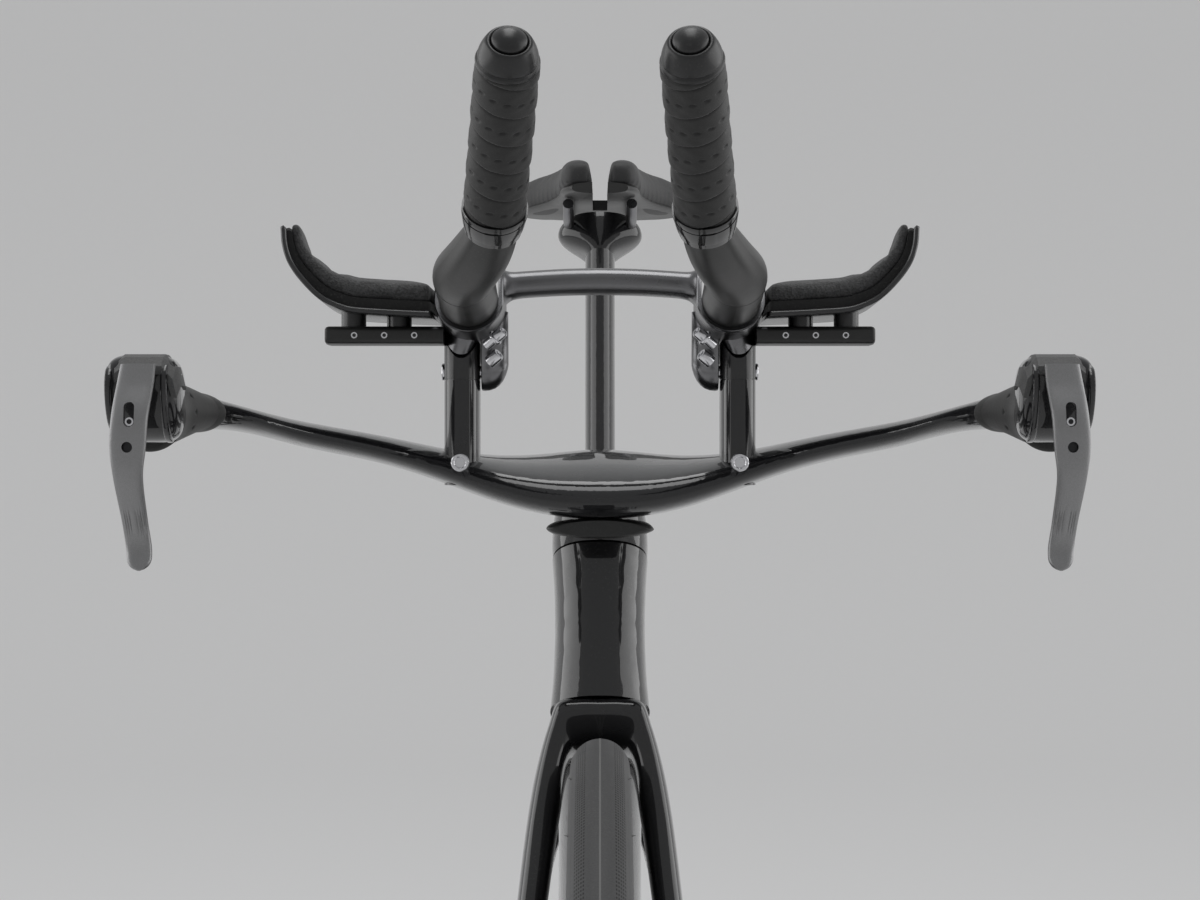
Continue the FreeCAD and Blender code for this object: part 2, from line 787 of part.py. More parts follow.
# Frame: tubes as lofted sections, fused and bored.
HEAD_WIDTH_SHARES = ((0.0, 1.0), (0.5, 0.91), (1.0, 0.97))
head_sections = []
for share, width_share in HEAD_WIDTH_SHARES:
    spot = on_steerer(dim.head_tube_bottom + dim.head_tube_length * share, -dim.head_tube_setback)
    head_sections.append(oval(spot, AXIS_X, steer_ahead, dim.head_tube_half_width * width_share,
                              dim.head_tube_half_chord, 2.4))
head_tube = skin(head_sections)

tube_reach = dim.down_tube_axle_reach
head_low = on_steerer(dim.head_tube_bottom + dim.head_tube_length * 0.32)
to_axle = front_axle - bracket
down_angle = math.atan2(to_axle.z, to_axle.y) - math.asin(min(tube_reach / to_axle.Length, 1.0))
down_way = Vector(0, math.cos(down_angle), math.sin(down_angle))
down_run = (head_low - bracket).dot(down_way)
down_side = Vector(0, down_way.z, -down_way.y)
DOWN_TUBE_SHARES = ((0.0, 1.0, 0.92), (0.3, 1.04, 1.0), (0.7, 0.98, 0.96), (0.97, 0.92, 0.9))
down_sections = []
for share, chord_share, width_share in DOWN_TUBE_SHARES:
    down_sections.append(oval(bracket + down_way * (down_run * share), AXIS_X, down_side,
                              dim.down_tube_half_width * width_share,
                              dim.down_tube_half_chord * chord_share, 2.5))
down_tube = skin(down_sections)

seat_middle = on_seat_tube(dim.top_tube_height + dim.top_tube_rise)
head_high = on_steerer(dim.head_tube_bottom + dim.head_tube_length * 0.6)
top_start = Vector(0, head_high.y, dim.top_tube_height)
top_way = seat_middle - top_start
TOP_TUBE_SHARES = ((0.02, 1.1, 1.08), (0.3, 1.0, 1.0), (0.75, 0.92, 0.86), (1.0, 0.9, 0.84))
top_sections = []
for share, height_share, width_share in TOP_TUBE_SHARES:
    top_sections.append(oval(top_start + top_way * share, AXIS_X, AXIS_Z, dim.top_tube_half_width * width_share,
                             dim.top_tube_half_height * height_share, 2.5))
top_tube = skin(top_sections)

SEAT_TUBE_SHARES = ((0.0, 1.0, 1.15), (0.35, 1.02, 1.06), (0.75, 1.0, 1.0), (1.0, 1.0, 1.0))
seat_sections = []
for share, chord_share, width_share in SEAT_TUBE_SHARES:
    level = bracket.z + (dim.seat_tube_top - bracket.z) * share
    seat_sections.append(oval(on_seat_tube(level), AXIS_X, seat_back, dim.seat_tube_half_width * width_share,
                              dim.seat_tube_half_chord * chord_share, 2.3))
seat_tube = skin(seat_sections)

rear_side = dim.rear_dropout_spacing / 2 + dim.dropout_thickness / 2


def stay(start, rows, half_width, half_height):
    """Stay from the frame to the rear dropout: shares of the run with the side at each."""
    wires = []
    points = [start + (rear_axle - start) * share + AXIS_X * (rear_side * side) + AXIS_Z * (half_height * lift)
              for share, side, lift, _ in rows]
    for point, way, (_, _, _, size_share) in zip(points, directions(points), rows):
        flat = AXIS_X - way * AXIS_X.dot(way)
        flat.normalize()
        wires.append(oval(point, flat, way.cross(flat), half_width * size_share, half_height * size_share, 2.4))
    return skin(wires)


CHAINSTAY_SHARES = ((0.07, 0.42, 0.0, 1.1), (0.25, 0.42, 0.1, 1.0), (0.55, 0.62, 0.0, 0.95),
                    (0.88, 0.97, -0.3, 0.85), (1.0, 1.0, -0.1, 0.8))
SEATSTAY_SHARES = ((0.0, 0.15, 0.0, 1.0), (0.17, 0.4, 0.0, 1.0), (0.6, 0.72, 0.0, 0.95),
                   (0.95, 0.98, 0.0, 0.9), (1.0, 1.0, 0.0, 0.9))
stay_half_width = dim.dropout_thickness * 0.78
chainstay = stay(bracket, CHAINSTAY_SHARES, stay_half_width, dim.dropout_radius * 0.95)
seatstay = stay(on_seat_tube(dim.stay_bridge_height), SEATSTAY_SHARES, stay_half_width, dim.dropout_radius * 0.8)

shell = Part.makeCylinder(dim.shell_radius, dim.shell_width, bracket - AXIS_X * (dim.shell_width / 2), AXIS_X)
dropout_start = dim.rear_dropout_spacing / 2
dropout = Part.makeCylinder(dim.dropout_radius, dim.dropout_thickness, rear_axle + AXIS_X * dropout_start, AXIS_X)
hanger_end = rear_axle + Vector(0, dim.dropout_radius * 0.6, -dim.hanger_drop)
hanger = slab(((rear_axle.y - dim.dropout_radius * 0.6, rear_axle.z), (rear_axle.y + dim.dropout_radius, rear_axle.z),
               (hanger_end.y + dim.dropout_radius * 0.6, hanger_end.z),
               (hanger_end.y - dim.dropout_radius * 0.6, hanger_end.z)), -dropout_start, -dim.dropout_thickness)

whole_frame = fused([head_tube, down_tube, top_tube, seat_tube, shell, chainstay, mirrored(chainstay), seatstay,
                     mirrored(seatstay), dropout, mirrored(dropout), hanger])

head_length = dim.head_tube_length
bores = [
    Part.makeCylinder(dim.head_bore_radius, head_length, on_steerer(dim.head_tube_bottom), steer_up),
    Part.makeCylinder(dim.bearing_radius, dim.bearing_height, on_steerer(dim.head_tube_bottom), steer_up),
    Part.makeCylinder(dim.bearing_radius, dim.bearing_height,
                      on_steerer(dim.head_tube_bottom + head_length - dim.bearing_height), steer_up),
    Part.makeCylinder(dim.cup_radius, dim.shell_width, bracket - AXIS_X * (dim.shell_width / 2), AXIS_X),
    Part.makeCylinder(dim.axle_radius, dropout_start * 2.5, rear_axle - AXIS_X * (dropout_start * 1.25), AXIS_X),
]
post_bottom = dim.seat_tube_top - dim.post_sink
socket = skin([oval(on_seat_tube(level), AXIS_X, seat_back, dim.post_half_width + dim.post_fit,
                    dim.post_half_chord + dim.post_fit, 2.3)
               for level in (post_bottom, dim.seat_tube_top + dim.seat_tube_half_chord)])
bores.append(socket)
# Wheel room behind the seat tube and the shell, and threaded bosses for bottle cages.
rear_room = Part.makeCylinder(dim.wheel_radius + dim.rim_tip_width, dim.tyre_width * 1.3,
                              rear_axle - AXIS_X * (dim.tyre_width * 0.65), AXIS_X)
bores.append(rear_room)
# Room for the stem and the crown to turn, and for the rear hub between the dropouts.
head_end = dim.head_tube_bottom + head_length
bores.append(Part.makeCylinder(dim.stem_half_chord * 1.5, dim.stem_length, on_steerer(head_end), steer_up))
bores.append(Part.makeCylinder(dim.crown_half_chord + dim.head_tube_setback, dim.crown_thickness * 1.5,
                               on_steerer(dim.head_tube_bottom), -steer_up))
bores.append(Part.makeCylinder(dim.dropout_radius * 1.3, dropout_start * 2, rear_axle - AXIS_X * dropout_start, AXIS_X))
down_top = -down_side if down_side.z < 0 else down_side
boss_points = []
for share in (0.5, 0.5 + dim.boss_spacing / down_run):
    boss_points.append(bracket + down_way * (down_run * share) + down_top * (dim.down_tube_half_chord * 1.2))
for spot in boss_points:
    bores.append(Part.makeCylinder(dim.boss_radius, dim.boss_depth + dim.down_tube_half_chord * 0.2, spot, -down_top))
solid("frame", whole_frame.cut(bores))

cup_outline = (
    ("spindle_bore_radius", "shell_width/2 - cup_length"),
    ("cup_radius", "shell_width/2 - cup_length"),
    ("cup_radius", "shell_width/2"),
    ("cup_lip_radius", "shell_width/2"),
    ("cup_lip_radius", "shell_width/2 + cup_lip_length"),
    ("spindle_bore_radius", "shell_width/2 + cup_lip_length"),
)
left_cup = turned("left_cup", cup_outline, bracket, AXIS_X)
right_cup = turned("right_cup", cup_outline, bracket, -AXIS_X)
cups = doc.addObject("Part::Compound", "bottom_bracket_cups")
cups.Links = [left_cup, right_cup]
keep("bottom_bracket_cups", cups)

bearing_outline = (
    ("bearing_bore_radius", "0"),
    ("bearing_radius", "0"),
    ("bearing_radius", "bearing_height"),
    ("bearing_bore_radius", "bearing_height"),
)
low_bearing = turned("low_bearing", bearing_outline, on_steerer(dim.head_tube_bottom), steer_up)
high_bearing = turned("high_bearing", bearing_outline, on_steerer(dim.head_tube_bottom + head_length), -steer_up)
bearings = doc.addObject("Part::Compound", "headset_bearings")
bearings.Links = [low_bearing, high_bearing]
keep("headset_bearings", bearings)

# Fork: steerer, crown, two blades and dropouts.
crown_top = dim.head_tube_bottom - dim.crown_gap
crown_low = crown_top - dim.crown_thickness
stem_low = dim.head_tube_bottom + head_length + dim.crown_gap
steerer_top = stem_low + dim.stem_length * 0.8
steerer = Part.makeCylinder(dim.steerer_radius, steerer_top - crown_low, on_steerer(crown_low), steer_up)
CROWN_SHARES = ((0.0, 0.92, 0.9), (0.45, 1.0, 1.0), (1.0, 1.02, 1.02))
crown = skin([oval(on_steerer(crown_low + dim.crown_thickness * share, -dim.head_tube_setback * 0.6), AXIS_X,
                   steer_ahead, dim.crown_half_width * width_share, dim.crown_half_chord * chord_share, 2.5)
              for share, width_share, chord_share in CROWN_SHARES])
fork_side = dim.front_dropout_spacing / 2 + dim.dropout_thickness / 2
BLADE_SHARES = ((0.98, 0.29, 0.05, 1.0), (0.92, 0.37, 0.1, 1.0), (0.76, 0.56, 0.25, 1.0), (0.5, 0.75, 0.5, 0.92),
                (0.22, 0.93, 0.8, 0.8), (0.0, 1.0, 1.0, 0.62))
blade_points = [on_steerer(crown_top * share, dim.fork_offset * ahead, fork_side * side)
                for share, side, ahead, _ in BLADE_SHARES]
blade = skin([oval(point, AXIS_X, steer_ahead, dim.blade_half_width * (0.45 + 0.55 * size_share),
                   dim.blade_half_chord * size_share, 2.3)
              for point, (_, _, _, size_share) in zip(blade_points, BLADE_SHARES)])
fork_start = dim.front_dropout_spacing / 2
fork_dropout = Part.makeCylinder(dim.fork_dropout_radius, dim.dropout_thickness,
                                 front_axle + AXIS_X * fork_start, AXIS_X)
tyre_room = Part.makeCylinder(dim.wheel_radius + dim.rim_tip_width * 0.5, dim.tyre_width * 1.3,
                              front_axle - AXIS_X * (dim.tyre_width * 0.65), AXIS_X)
fork_bore = Part.makeCylinder(dim.axle_radius, fork_start * 2.6, front_axle - AXIS_X * (fork_start * 1.3), AXIS_X)
hub_room = Part.makeCylinder(dim.fork_dropout_radius * 1.6, fork_start * 2, front_axle - AXIS_X * fork_start, AXIS_X)
whole_fork = fused([steerer, crown, blade, mirrored(blade), fork_dropout, mirrored(fork_dropout)])
solid("fork", whole_fork.cut([tyre_room, fork_bore, hub_room]))


# Brake calipers and pads on the left side.
def caliper(centre, up):
    """Slotted caliper block, its length along the stay, with its two pads."""
    back = AXIS_X.cross(up)
    turn = FreeCAD.Matrix(1, 0, 0, centre.x, 0, back.y, up.y, centre.y, 0, back.z, up.z, centre.z, 0, 0, 0, 1)
    place = Placement(turn)
    corner = Vector(-dim.caliper_width / 2, -dim.caliper_depth / 2, -dim.caliper_length / 2)
    block = Part.makeBox(dim.caliper_width, dim.caliper_depth, dim.caliper_length, corner)
    block = block.makeFillet(dim.caliper_round, block.Edges)
    return block, place


def caliper_pair(end, axle, centre, up, bodies):
    """Caliper with a slot open towards the axle, and two pads in the slot."""
    block, place = caliper(centre, up)
    inward = place.inverse().multVec(axle + AXIS_X * centre.x)
    way = Vector(0, inward.y, inward.z)
    way.normalize()
    across = AXIS_X.cross(way)
    slot_length = dim.caliper_length * 2
    corners = []
    for along, side in ((-0.5, -1), (-0.5, 1), (1.5, 1), (1.5, -1)):
        spot = way * (dim.caliper_slot_height * along) + across * (slot_length * 0.5 * side)
        corners.append(Vector(-dim.caliper_slot / 2, spot.y, spot.z))
    slot = Part.Face(Part.makePolygon(corners + [corners[0]])).extrude(Vector(dim.caliper_slot, 0, 0))
    made = block.cut(slot)
    made.Placement = place
    solid(end + "_caliper", made.cut(bodies) if bodies else made)
    inner = dim.rotor_thickness / 2 + dim.brake_pad_gap
    for name, side in (("left", -1), ("right", 1)):
        points = []
        for along, part in ((-0.5, -1), (-0.5, 1), (0.5, 1), (0.5, -1)):
            spot = way * (dim.brake_pad_height * (along + 0.2)) + across * (dim.brake_pad_width * 0.5 * part)
            points.append(Vector(side * inner, spot.y, spot.z))
        pad = Part.Face(Part.makePolygon(points + [points[0]])).extrude(AXIS_X * (side * dim.brake_pad_thickness))
        pad.Placement = place
        solid("%s_%s_brake_pad" % (end, name), pad)


blade_way = (blade_points[2] - front_axle)
blade_way = Vector(0, blade_way.y, blade_way.z)
blade_way.normalize()
behind = Vector(0, blade_way.z, -blade_way.y)
front_caliper_centre = (front_axle + blade_way * dim.front_caliper_along + behind * dim.front_caliper_behind
                        + AXIS_X * dim.front_rotor_side)
caliper_pair("front", front_axle, front_caliper_centre, blade_way, [pieces["fork"].Shape])
stay_way = bracket - rear_axle
stay_way = Vector(0, stay_way.y, stay_way.z)
stay_way.normalize()
rear_caliper_centre = (rear_axle + stay_way * dim.rear_caliper_ahead + AXIS_Z * dim.rear_caliper_above
                       + AXIS_X * dim.rear_rotor_side)
caliper_pair("rear", rear_axle, rear_caliper_centre, stay_way, [pieces["frame"].Shape])

# Base bar: one swept wing with its stem block.
BAR_SHARES = (
    # across, ahead, rise, chord, thickness, turn towards the front, pitch
    (0.0, 0.0, 0.0, 1.0, 1.0, 0.0, 1.0),
    (0.17, 0.07, 0.015, 0.82, 0.86, 0.0, 0.8),
    (0.324, 0.148, 0.18, 0.565, 0.64, 0.0, 0.45),
    (0.58, 0.217, 0.55, 0.42, 0.465, 0.03, 0.1),
    (0.82, 0.287, 0.86, 0.36, 0.43, 0.2, 0.0),
    (0.928, 0.5, 0.965, 0.275, 0.6, 0.66, 0.0),
    (0.981, 0.8, 0.99, 0.218, 0.857, 0.94, 0.0),
    (1.0, 1.0, 1.0, 0.218, 0.857, 1.0, 0.0),
)


def bar_section(row, grow=0.0):
    """One section of the left half of the wing, grown by a wall."""
    across, ahead, rise, chord, thick, turn, pitch = row
    centre = Vector(dim.bar_half_span * across, -dim.bar_root_setback - dim.bar_reach * ahead,
                    dim.bar_root_height + dim.bar_rise * rise)
    swing = math.radians(90.0 * turn)
    droop = math.radians(dim.bar_root_pitch * pitch)
    chord_way = Vector(-math.sin(swing), -math.cos(swing) * math.cos(droop), -math.sin(droop))
    run = Vector(math.cos(swing), -math.sin(swing), 0)
    thick_way = chord_way.cross(run)
    return (centre, chord_way, thick_way, dim.bar_root_half_chord * chord + grow,
            dim.bar_root_half_thickness * thick + grow)


def bar_wire(section, side, power):
    """Wire of a wing section on either side."""
    centre, chord_way, thick_way, half_chord, half_thick = section
    return oval(sided(centre, side), sided(chord_way, side), sided(thick_way, side), half_chord, half_thick, power)


bar_powers = [2.3, 2.3, 2.2, 2.1, 2.0, 2.0, 2.0, 2.0]
bar_wires = [bar_wire(bar_section(row), -1, power) for row, power in zip(BAR_SHARES[:0:-1], bar_powers[:0:-1])]
bar_wires += [bar_wire(bar_section(row), 1, power) for row, power in zip(BAR_SHARES, bar_powers)]
wing = skin(bar_wires)
STEM_SHARES = ((0.0, 0.0, 1.0, 0.95), (0.4, 0.04, 1.0, 1.08), (0.75, 0.06, 0.9, 1.0), (1.0, 0.0, 0.72, 0.62))
stem = skin([oval(on_steerer(stem_low + dim.stem_length * along, dim.stem_half_chord * (ahead - 0.2)), AXIS_X,
                  steer_ahead, dim.stem_half_width * width_share, dim.stem_half_chord * chord_share, 2.4)
             for along, ahead, width_share, chord_share in STEM_SHARES])
base_bar = wing.fuse(stem).cut(steerer)
solid("base_bar", base_bar)

COVER_SHARES = ((0.0, 1.0), (0.7, 1.0), (0.92, 0.93), (1.0, 0.78))
cover = skin([oval(Vector(0, -dim.cover_face + dim.cover_depth * (1.0 - share), dim.cover_height), AXIS_X, AXIS_Z,
                   dim.cover_half_width * size_share, dim.cover_half_height * size_share, 2.0)
              for share, size_share in COVER_SHARES])
stem_cover = cover.cut(base_bar)
solid("stem_cover", max(stem_cover.Solids, key=lambda item: -item.BoundBox.YMin))

# Riser columns with the tilt pin's eye at their heads.
RISER_SHARES = ((0.0, 1.0), (0.2, 1.0), (0.4, 1.0), (0.6, 1.0), (0.78, 1.0), (0.88, 1.03), (0.96, 0.97), (1.0, 0.82))
riser_span = dim.riser_top - dim.riser_foot
riser = skin([oval(Vector(dim.riser_side, -dim.riser_setback, dim.riser_foot + riser_span * share), AXIS_X, AXIS_Y,
                   dim.riser_half_width * size_share, dim.riser_half_chord * size_share, 2.2)
              for share, size_share in RISER_SHARES])
eye = Part.makeCylinder(dim.tilt_pin_bore_radius, dim.riser_half_width * 4,
                        Vector(dim.riser_side - dim.riser_half_width * 2, -dim.riser_setback, dim.tilt_height), AXIS_X)
riser = riser.cut([base_bar, eye])
riser = max(riser.Solids, key=lambda item: item.Volume)
solid("riser_columns", both(riser))

# Extensions: a straight clamped run, an S bend and an upright grip.
rear_end = Vector(dim.extension_side, -dim.extension_rear, dim.extension_rear_height)
pitch = math.radians(dim.extension_pitch)
extension_way = Vector(0, -math.cos(pitch), math.sin(pitch))
bend = rear_end + extension_way * dim.extension_straight
grip_base = Vector(dim.grip_base_side, -dim.grip_base_reach, dim.grip_base_height)
grip_tip = Vector(dim.grip_tip_side, -dim.grip_tip_reach, dim.grip_tip_height)
grip_run = grip_tip - grip_base
grip_way = Vector(grip_run).normalize()
EXTENSION_BEND_SHARES = ((0.22, 0.08, -0.02, 1.0), (0.6, 0.45, -0.06, 0.96), (0.86, 0.82, -0.04, 0.87))
bend_run = grip_base - bend
extension_points = [bend]
extension_radii = [dim.extension_radius * 0.99]
for ahead_share, side_share, lift_share, size_share in EXTENSION_BEND_SHARES:
    extension_points.append(bend + Vector(bend_run.x * side_share, bend_run.y * ahead_share,
                                          bend_run.z * (ahead_share ** 2) + bend_run.Length * lift_share * 0.3))
    extension_radii.append(dim.extension_radius * size_share)
extension_points.append(grip_base)
extension_radii.append(dim.grip_core_radius * 0.99)
grip_core = Part.makeCylinder(dim.grip_core_radius, grip_run.Length, grip_base, grip_way)
clamped = Part.makeCylinder(dim.extension_radius, dim.extension_straight, rear_end, extension_way)
extension = fused([clamped, tube(extension_points, extension_radii, extension_way, grip_way), grip_core])
solid("left_extension", extension)
solid("right_extension", mirrored(extension))

# Tape wound round each grip: every wrap starts thin and ends over the next one's edge.
tape_profile = [(dim.grip_core_radius, 0.0)]
for k in range(TAPE_WRAPS):
    for share, thin in ((0.0, 0.0), (1.0, 1.0)):
        tape_profile.append((dim.tape_radius - dim.tape_step * thin, grip_run.Length * (k + share) / TAPE_WRAPS))
tape_profile.append((dim.grip_core_radius, grip_run.Length))
tape = spun(tape_profile, grip_base, grip_way)
solid("grip_tapes", both(tape))

plug_outline = (
    ("0", "0"),
    ("tape_radius", "0"),
    ("tape_radius", "plug_length/4"),
    ("plug_tip_radius", "plug_length"),
    ("button_bore_radius", "plug_length"),
    ("button_bore_radius", "plug_length - button_bore_depth"),
    ("0", "plug_length - button_bore_depth"),
)
button_outline = (
    ("0", "plug_length - button_stem"),
    ("button_radius", "plug_length - button_stem"),
    ("button_radius", "plug_length + plug_lip"),
    ("button_radius - button_dome/4", "plug_length + button_dome/2"),
    ("button_radius/2", "plug_length + button_dome - plug_lip"),
    ("0", "plug_length + button_dome"),
)
plugs = doc.addObject("Part::Compound", "end_plugs")
plug_links = []
for name, side in (("left", 1), ("right", -1)):
    spot = sided(grip_tip, side)
    way = sided(grip_way, side)
    plug_links.append(turned(name + "_plug", plug_outline, spot, way))
    keep(name + "_shift_button", turned(name + "_shift_button", button_outline, spot, way))
plugs.Links = plug_links
keep("end_plugs", plugs)

# Bridge: crossbar, two open cradles and the lugs that tilt on the risers.
cradle_middle = rear_end + extension_way * ((dim.cradle_setback - dim.extension_rear) / math.cos(pitch))
cradle_start = cradle_middle - extension_way * (dim.cradle_length / 2)
cradle_top = extension_way.cross(AXIS_X)
if cradle_top.z < 0:
    cradle_top = cradle_top * -1.0


def trough(radius, rise, start, length):
    """Solid with a U profile open upwards, its round bottom about the extension's axis."""
    left_low = start - AXIS_X * radius
    right_low = start + AXIS_X * radius
    left_high = left_low + cradle_top * rise
    right_high = right_low + cradle_top * rise
    edges = [Part.makeLine(left_high, left_low), Part.Arc(left_low, start - cradle_top * radius, right_low).toShape(),
             Part.makeLine(right_low, right_high), Part.makeLine(right_high, left_high)]
    return Part.Face(Part.Wire(edges)).extrude(extension_way * length)


cradle_body = trough(dim.cradle_radius, dim.cradle_wall_height, cradle_start, dim.cradle_length)
cradle_room = trough(dim.extension_radius, dim.cradle_wall_height * 2, cradle_start - extension_way * dim.cradle_length,
                     dim.cradle_length * 3)
lug_width = dim.lug_outer - dim.lug_inner
lug_disc = Part.makeCylinder(dim.lug_radius, lug_width, Vector(dim.lug_inner, -dim.riser_setback, dim.tilt_height),
                             AXIS_X)
lug_web = slab(((-dim.riser_setback - dim.lug_radius, dim.tilt_height),
                (-dim.riser_setback + dim.lug_radius, dim.tilt_height),
                (-dim.cradle_setback + dim.cradle_length * 0.4, cradle_middle.z),
                (-dim.cradle_setback - dim.cradle_length * 0.3, cradle_middle.z)), dim.lug_inner, lug_width)
cradle = fused([cradle_body, lug_disc, lug_web]).cut(cradle_room)
pin_start = Vector(dim.lug_inner, -dim.riser_setback, dim.tilt_height)
pin_length = dim.riser_side + dim.riser_half_width - dim.lug_inner
tilt_pin = Part.makeCylinder(dim.tilt_pin_radius, pin_length, pin_start, AXIS_X)
crossbar_end = dim.extension_side - dim.extension_radius - (dim.cradle_radius - dim.extension_radius) / 2
CROSSBAR_SHARES = ((-1.0, 1.25), (-0.72, 1.0), (0.72, 1.0), (1.0, 1.25))
crossbar = skin([oval(Vector(crossbar_end * side, -dim.cradle_setback, dim.crossbar_height), AXIS_Y, AXIS_Z,
                      dim.crossbar_half_depth * size_share, dim.crossbar_half_height, 2.8)
                 for side, size_share in CROSSBAR_SHARES])
bridge = fused([crossbar, cradle, mirrored(cradle)])
bridge = bridge.cut([tilt_pin, mirrored(tilt_pin)])
CLAMP_BOLT_SHARES = ((0.25, 0.32), (0.42, 0.6))
clamp_bolts = []
for across_share, rise_share in CLAMP_BOLT_SHARES:
    level = dim.tilt_height + (cradle_middle.z - dim.tilt_height) * rise_share
    clamp_bolts.append(Part.makeCylinder(dim.clamp_bolt_radius, dim.clamp_bolt_length,
                                         Vector(dim.lug_inner + lug_width * across_share,
                                                -dim.cradle_setback - dim.cradle_length * 0.3, level), AXIS_Y))
bridge = bridge.cut(clamp_bolts + [mirrored(bolt) for bolt in clamp_bolts])
solid("extension_bridge", max(bridge.Solids, key=lambda item: item.Volume))
solid("tilt_bolts", Part.makeCompound([tilt_pin, mirrored(tilt_pin)] + clamp_bolts
                                      + [mirrored(bolt) for bolt in clamp_bolts]))


# Pad rails with a row of holes, J-shaped carriers and foam pads.
def rail(name, side):
    """Horizontal rail beside a cradle with a row of holes in its front face."""
    body = doc.addObject("PartDesign::Body", name)
    outline = (("0", "0"), ("rail_length", "0"), ("rail_length", "rail_height"), ("0", "rail_height"))
    profile = outline_sketch(body, name + "_outline", "XZ_Plane", outline)
    pad = body.newObject("PartDesign::Pad", name + "_pad")
    pad.Profile = profile
    pad.setExpression("Length", formula("rail_depth"))
    doc.recompute()
    start = "rail_length - rail_hole_start" if side < 0 else "rail_hole_start"
    hole = circle_sketch(body, name + "_hole", "XZ_Plane", ((start, "rail_height/2", "rail_hole_radius"),))
    hole.AttachmentOffset = Placement(Vector(0, 0, dim.rail_depth), Rotation())
    cut = body.newObject("PartDesign::Pocket", name + "_pocket")
    cut.Profile = hole
    cut.setExpression("Length", formula("rail_hole_depth"))
    doc.recompute()
    row = body.newObject("PartDesign::LinearPattern", name + "_row")
    row.Originals = [cut]
    row.Direction = (hole, ["H_Axis"])
    row.Reversed = side < 0
    row.setExpression("Length", formula("rail_hole_spacing + rail_hole_spacing"))
    row.Occurrences = RAIL_HOLES
    body.Tip = row
    begin = dim.rail_start if side > 0 else -dim.rail_start - dim.rail_length
    body.Placement = Placement(Vector(begin, -dim.cradle_setback + dim.rail_depth / 2, dim.rail_level), Rotation())
    return body


doc.recompute()
rails = doc.addObject("Part::Compound", "pad_rail_pair")
rails.Links = [rail("left_rail", 1), rail("right_rail", -1)]
keep("pad_rails", less("pad_rails", rails, pieces["extension_bridge"]))

PAD_CURVE_SHARES = ((0.0, 0.0), (0.24, 0.012), (0.48, 0.03), (0.69, 0.0625), (0.8, 0.14), (0.9, 0.33),
                    (0.965, 0.56), (0.992, 0.78), (1.0, 1.0))


def pad_curve(lift):
    """J curve in the front view, lifted along its own normal."""
    base = [Vector(dim.pad_inner_side + dim.pad_width * across, 0, dim.pad_base_height + dim.pad_rise * up)
            for across, up in PAD_CURVE_SHARES]
    return [point + Vector(-way.z, 0, way.x) * lift for point, way in zip(base, directions(base))]


def pad_wire(level, low, high, tuck):
    """Closed J-shaped section at a fore-aft level, drawn in at its two edges."""
    under = pad_curve(low)
    over = pad_curve(high)
    last = len(over) - 1
    over[0] = over[0] + (over[1] - over[0]) * tuck
    over[last] = over[last] + (over[last - 1] - over[last]) * tuck
    shift = Vector(0, level, 0)
    bottom = Part.BSplineCurve()
    bottom.interpolate([point + shift for point in under])
    top = Part.BSplineCurve()
    top.interpolate([point + shift for point in reversed(over)])
    edges = [bottom.toShape(), Part.makeLine(under[last] + shift, over[last] + shift), top.toShape(),
             Part.makeLine(over[0] + shift, under[0] + shift)]
    return Part.Wire(edges)


carrier_front = -dim.pad_front - dim.carrier_overhang
carrier_back = carrier_front + dim.pad_length + dim.carrier_overhang * 2
carrier = skin([pad_wire(level, -dim.carrier_thickness, 0.0, 0.0) for level in (carrier_front, carrier_back)], True)
rail_top = dim.rail_level + dim.rail_height
standoffs = []
for k in range(2):
    spot = Vector(dim.pad_inner_side + dim.standoff_inset + dim.standoff_spacing * k, -dim.cradle_setback, rail_top)
    standoffs.append(Part.makeCylinder(dim.standoff_radius, dim.pad_base_height - rail_top, spot, AXIS_Z))
carrier = fused([carrier] + standoffs)
solid("pad_carriers", both(carrier))

PAD_CROWN_SHARES = ((0.0, 0.55, 0.34), (0.06, 0.86, 0.22), (0.2, 0.98, 0.16), (0.5, 1.0, 0.14), (0.8, 0.98, 0.16),
                    (0.94, 0.86, 0.22), (1.0, 0.55, 0.34))
arm_pad = skin([pad_wire(-dim.pad_front + dim.pad_length * share, 0.0, dim.pad_thickness * thick_share, tuck)
                for share, thick_share, tuck in PAD_CROWN_SHARES])
solid("arm_pads", both(arm_pad.cut(carrier)))

# Grip sleeves, lever bodies and brake levers at the bar's ends.
sleeve_rows = [(row, power, grow) for row, power, grow in
               zip(BAR_SHARES[4:], bar_powers[4:], (0.35, 0.7, 1.0, 1.0))]
sleeve = skin([bar_wire(bar_section(row, dim.grip_sleeve_wall * grow), 1, power)
               for row, power, grow in sleeve_rows])
sleeve = sleeve.cut(wing)
sleeve = max(sleeve.Solids, key=lambda item: item.Volume)
solid("bar_grips", both(sleeve))

bar_end = -dim.bar_root_setback - dim.bar_reach
LEVER_BODY_SHARES = ((0.0, 0.02), (0.0, 0.86), (0.26, 1.0), (0.86, 1.0), (1.0, 0.84), (0.97, 0.58), (0.5, 0.0))
body_points = [(bar_end - dim.lever_body_length * along, dim.lever_body_base + dim.lever_body_height * up)
               for along, up in LEVER_BODY_SHARES]
lever_body = slab(body_points, dim.lever_side - dim.lever_body_half_width, dim.lever_body_half_width * 2)
outer_edges = [edge for edge in lever_body.Edges
               if abs(edge.BoundBox.XMax - edge.BoundBox.XMin) < dim.lever_body_round / 100
               and edge.BoundBox.YMin < bar_end - dim.lever_body_round / 100]
lever_body = lever_body.makeFillet(dim.lever_body_round, outer_edges)
pivot = Vector(dim.lever_side, -dim.lever_pivot_setback, dim.lever_pivot_height)
slot_back = -dim.lever_pivot_setback + dim.lever_tongue_radius * 1.4
slot_floor = dim.lever_pivot_height - dim.lever_tongue_radius * 2.6
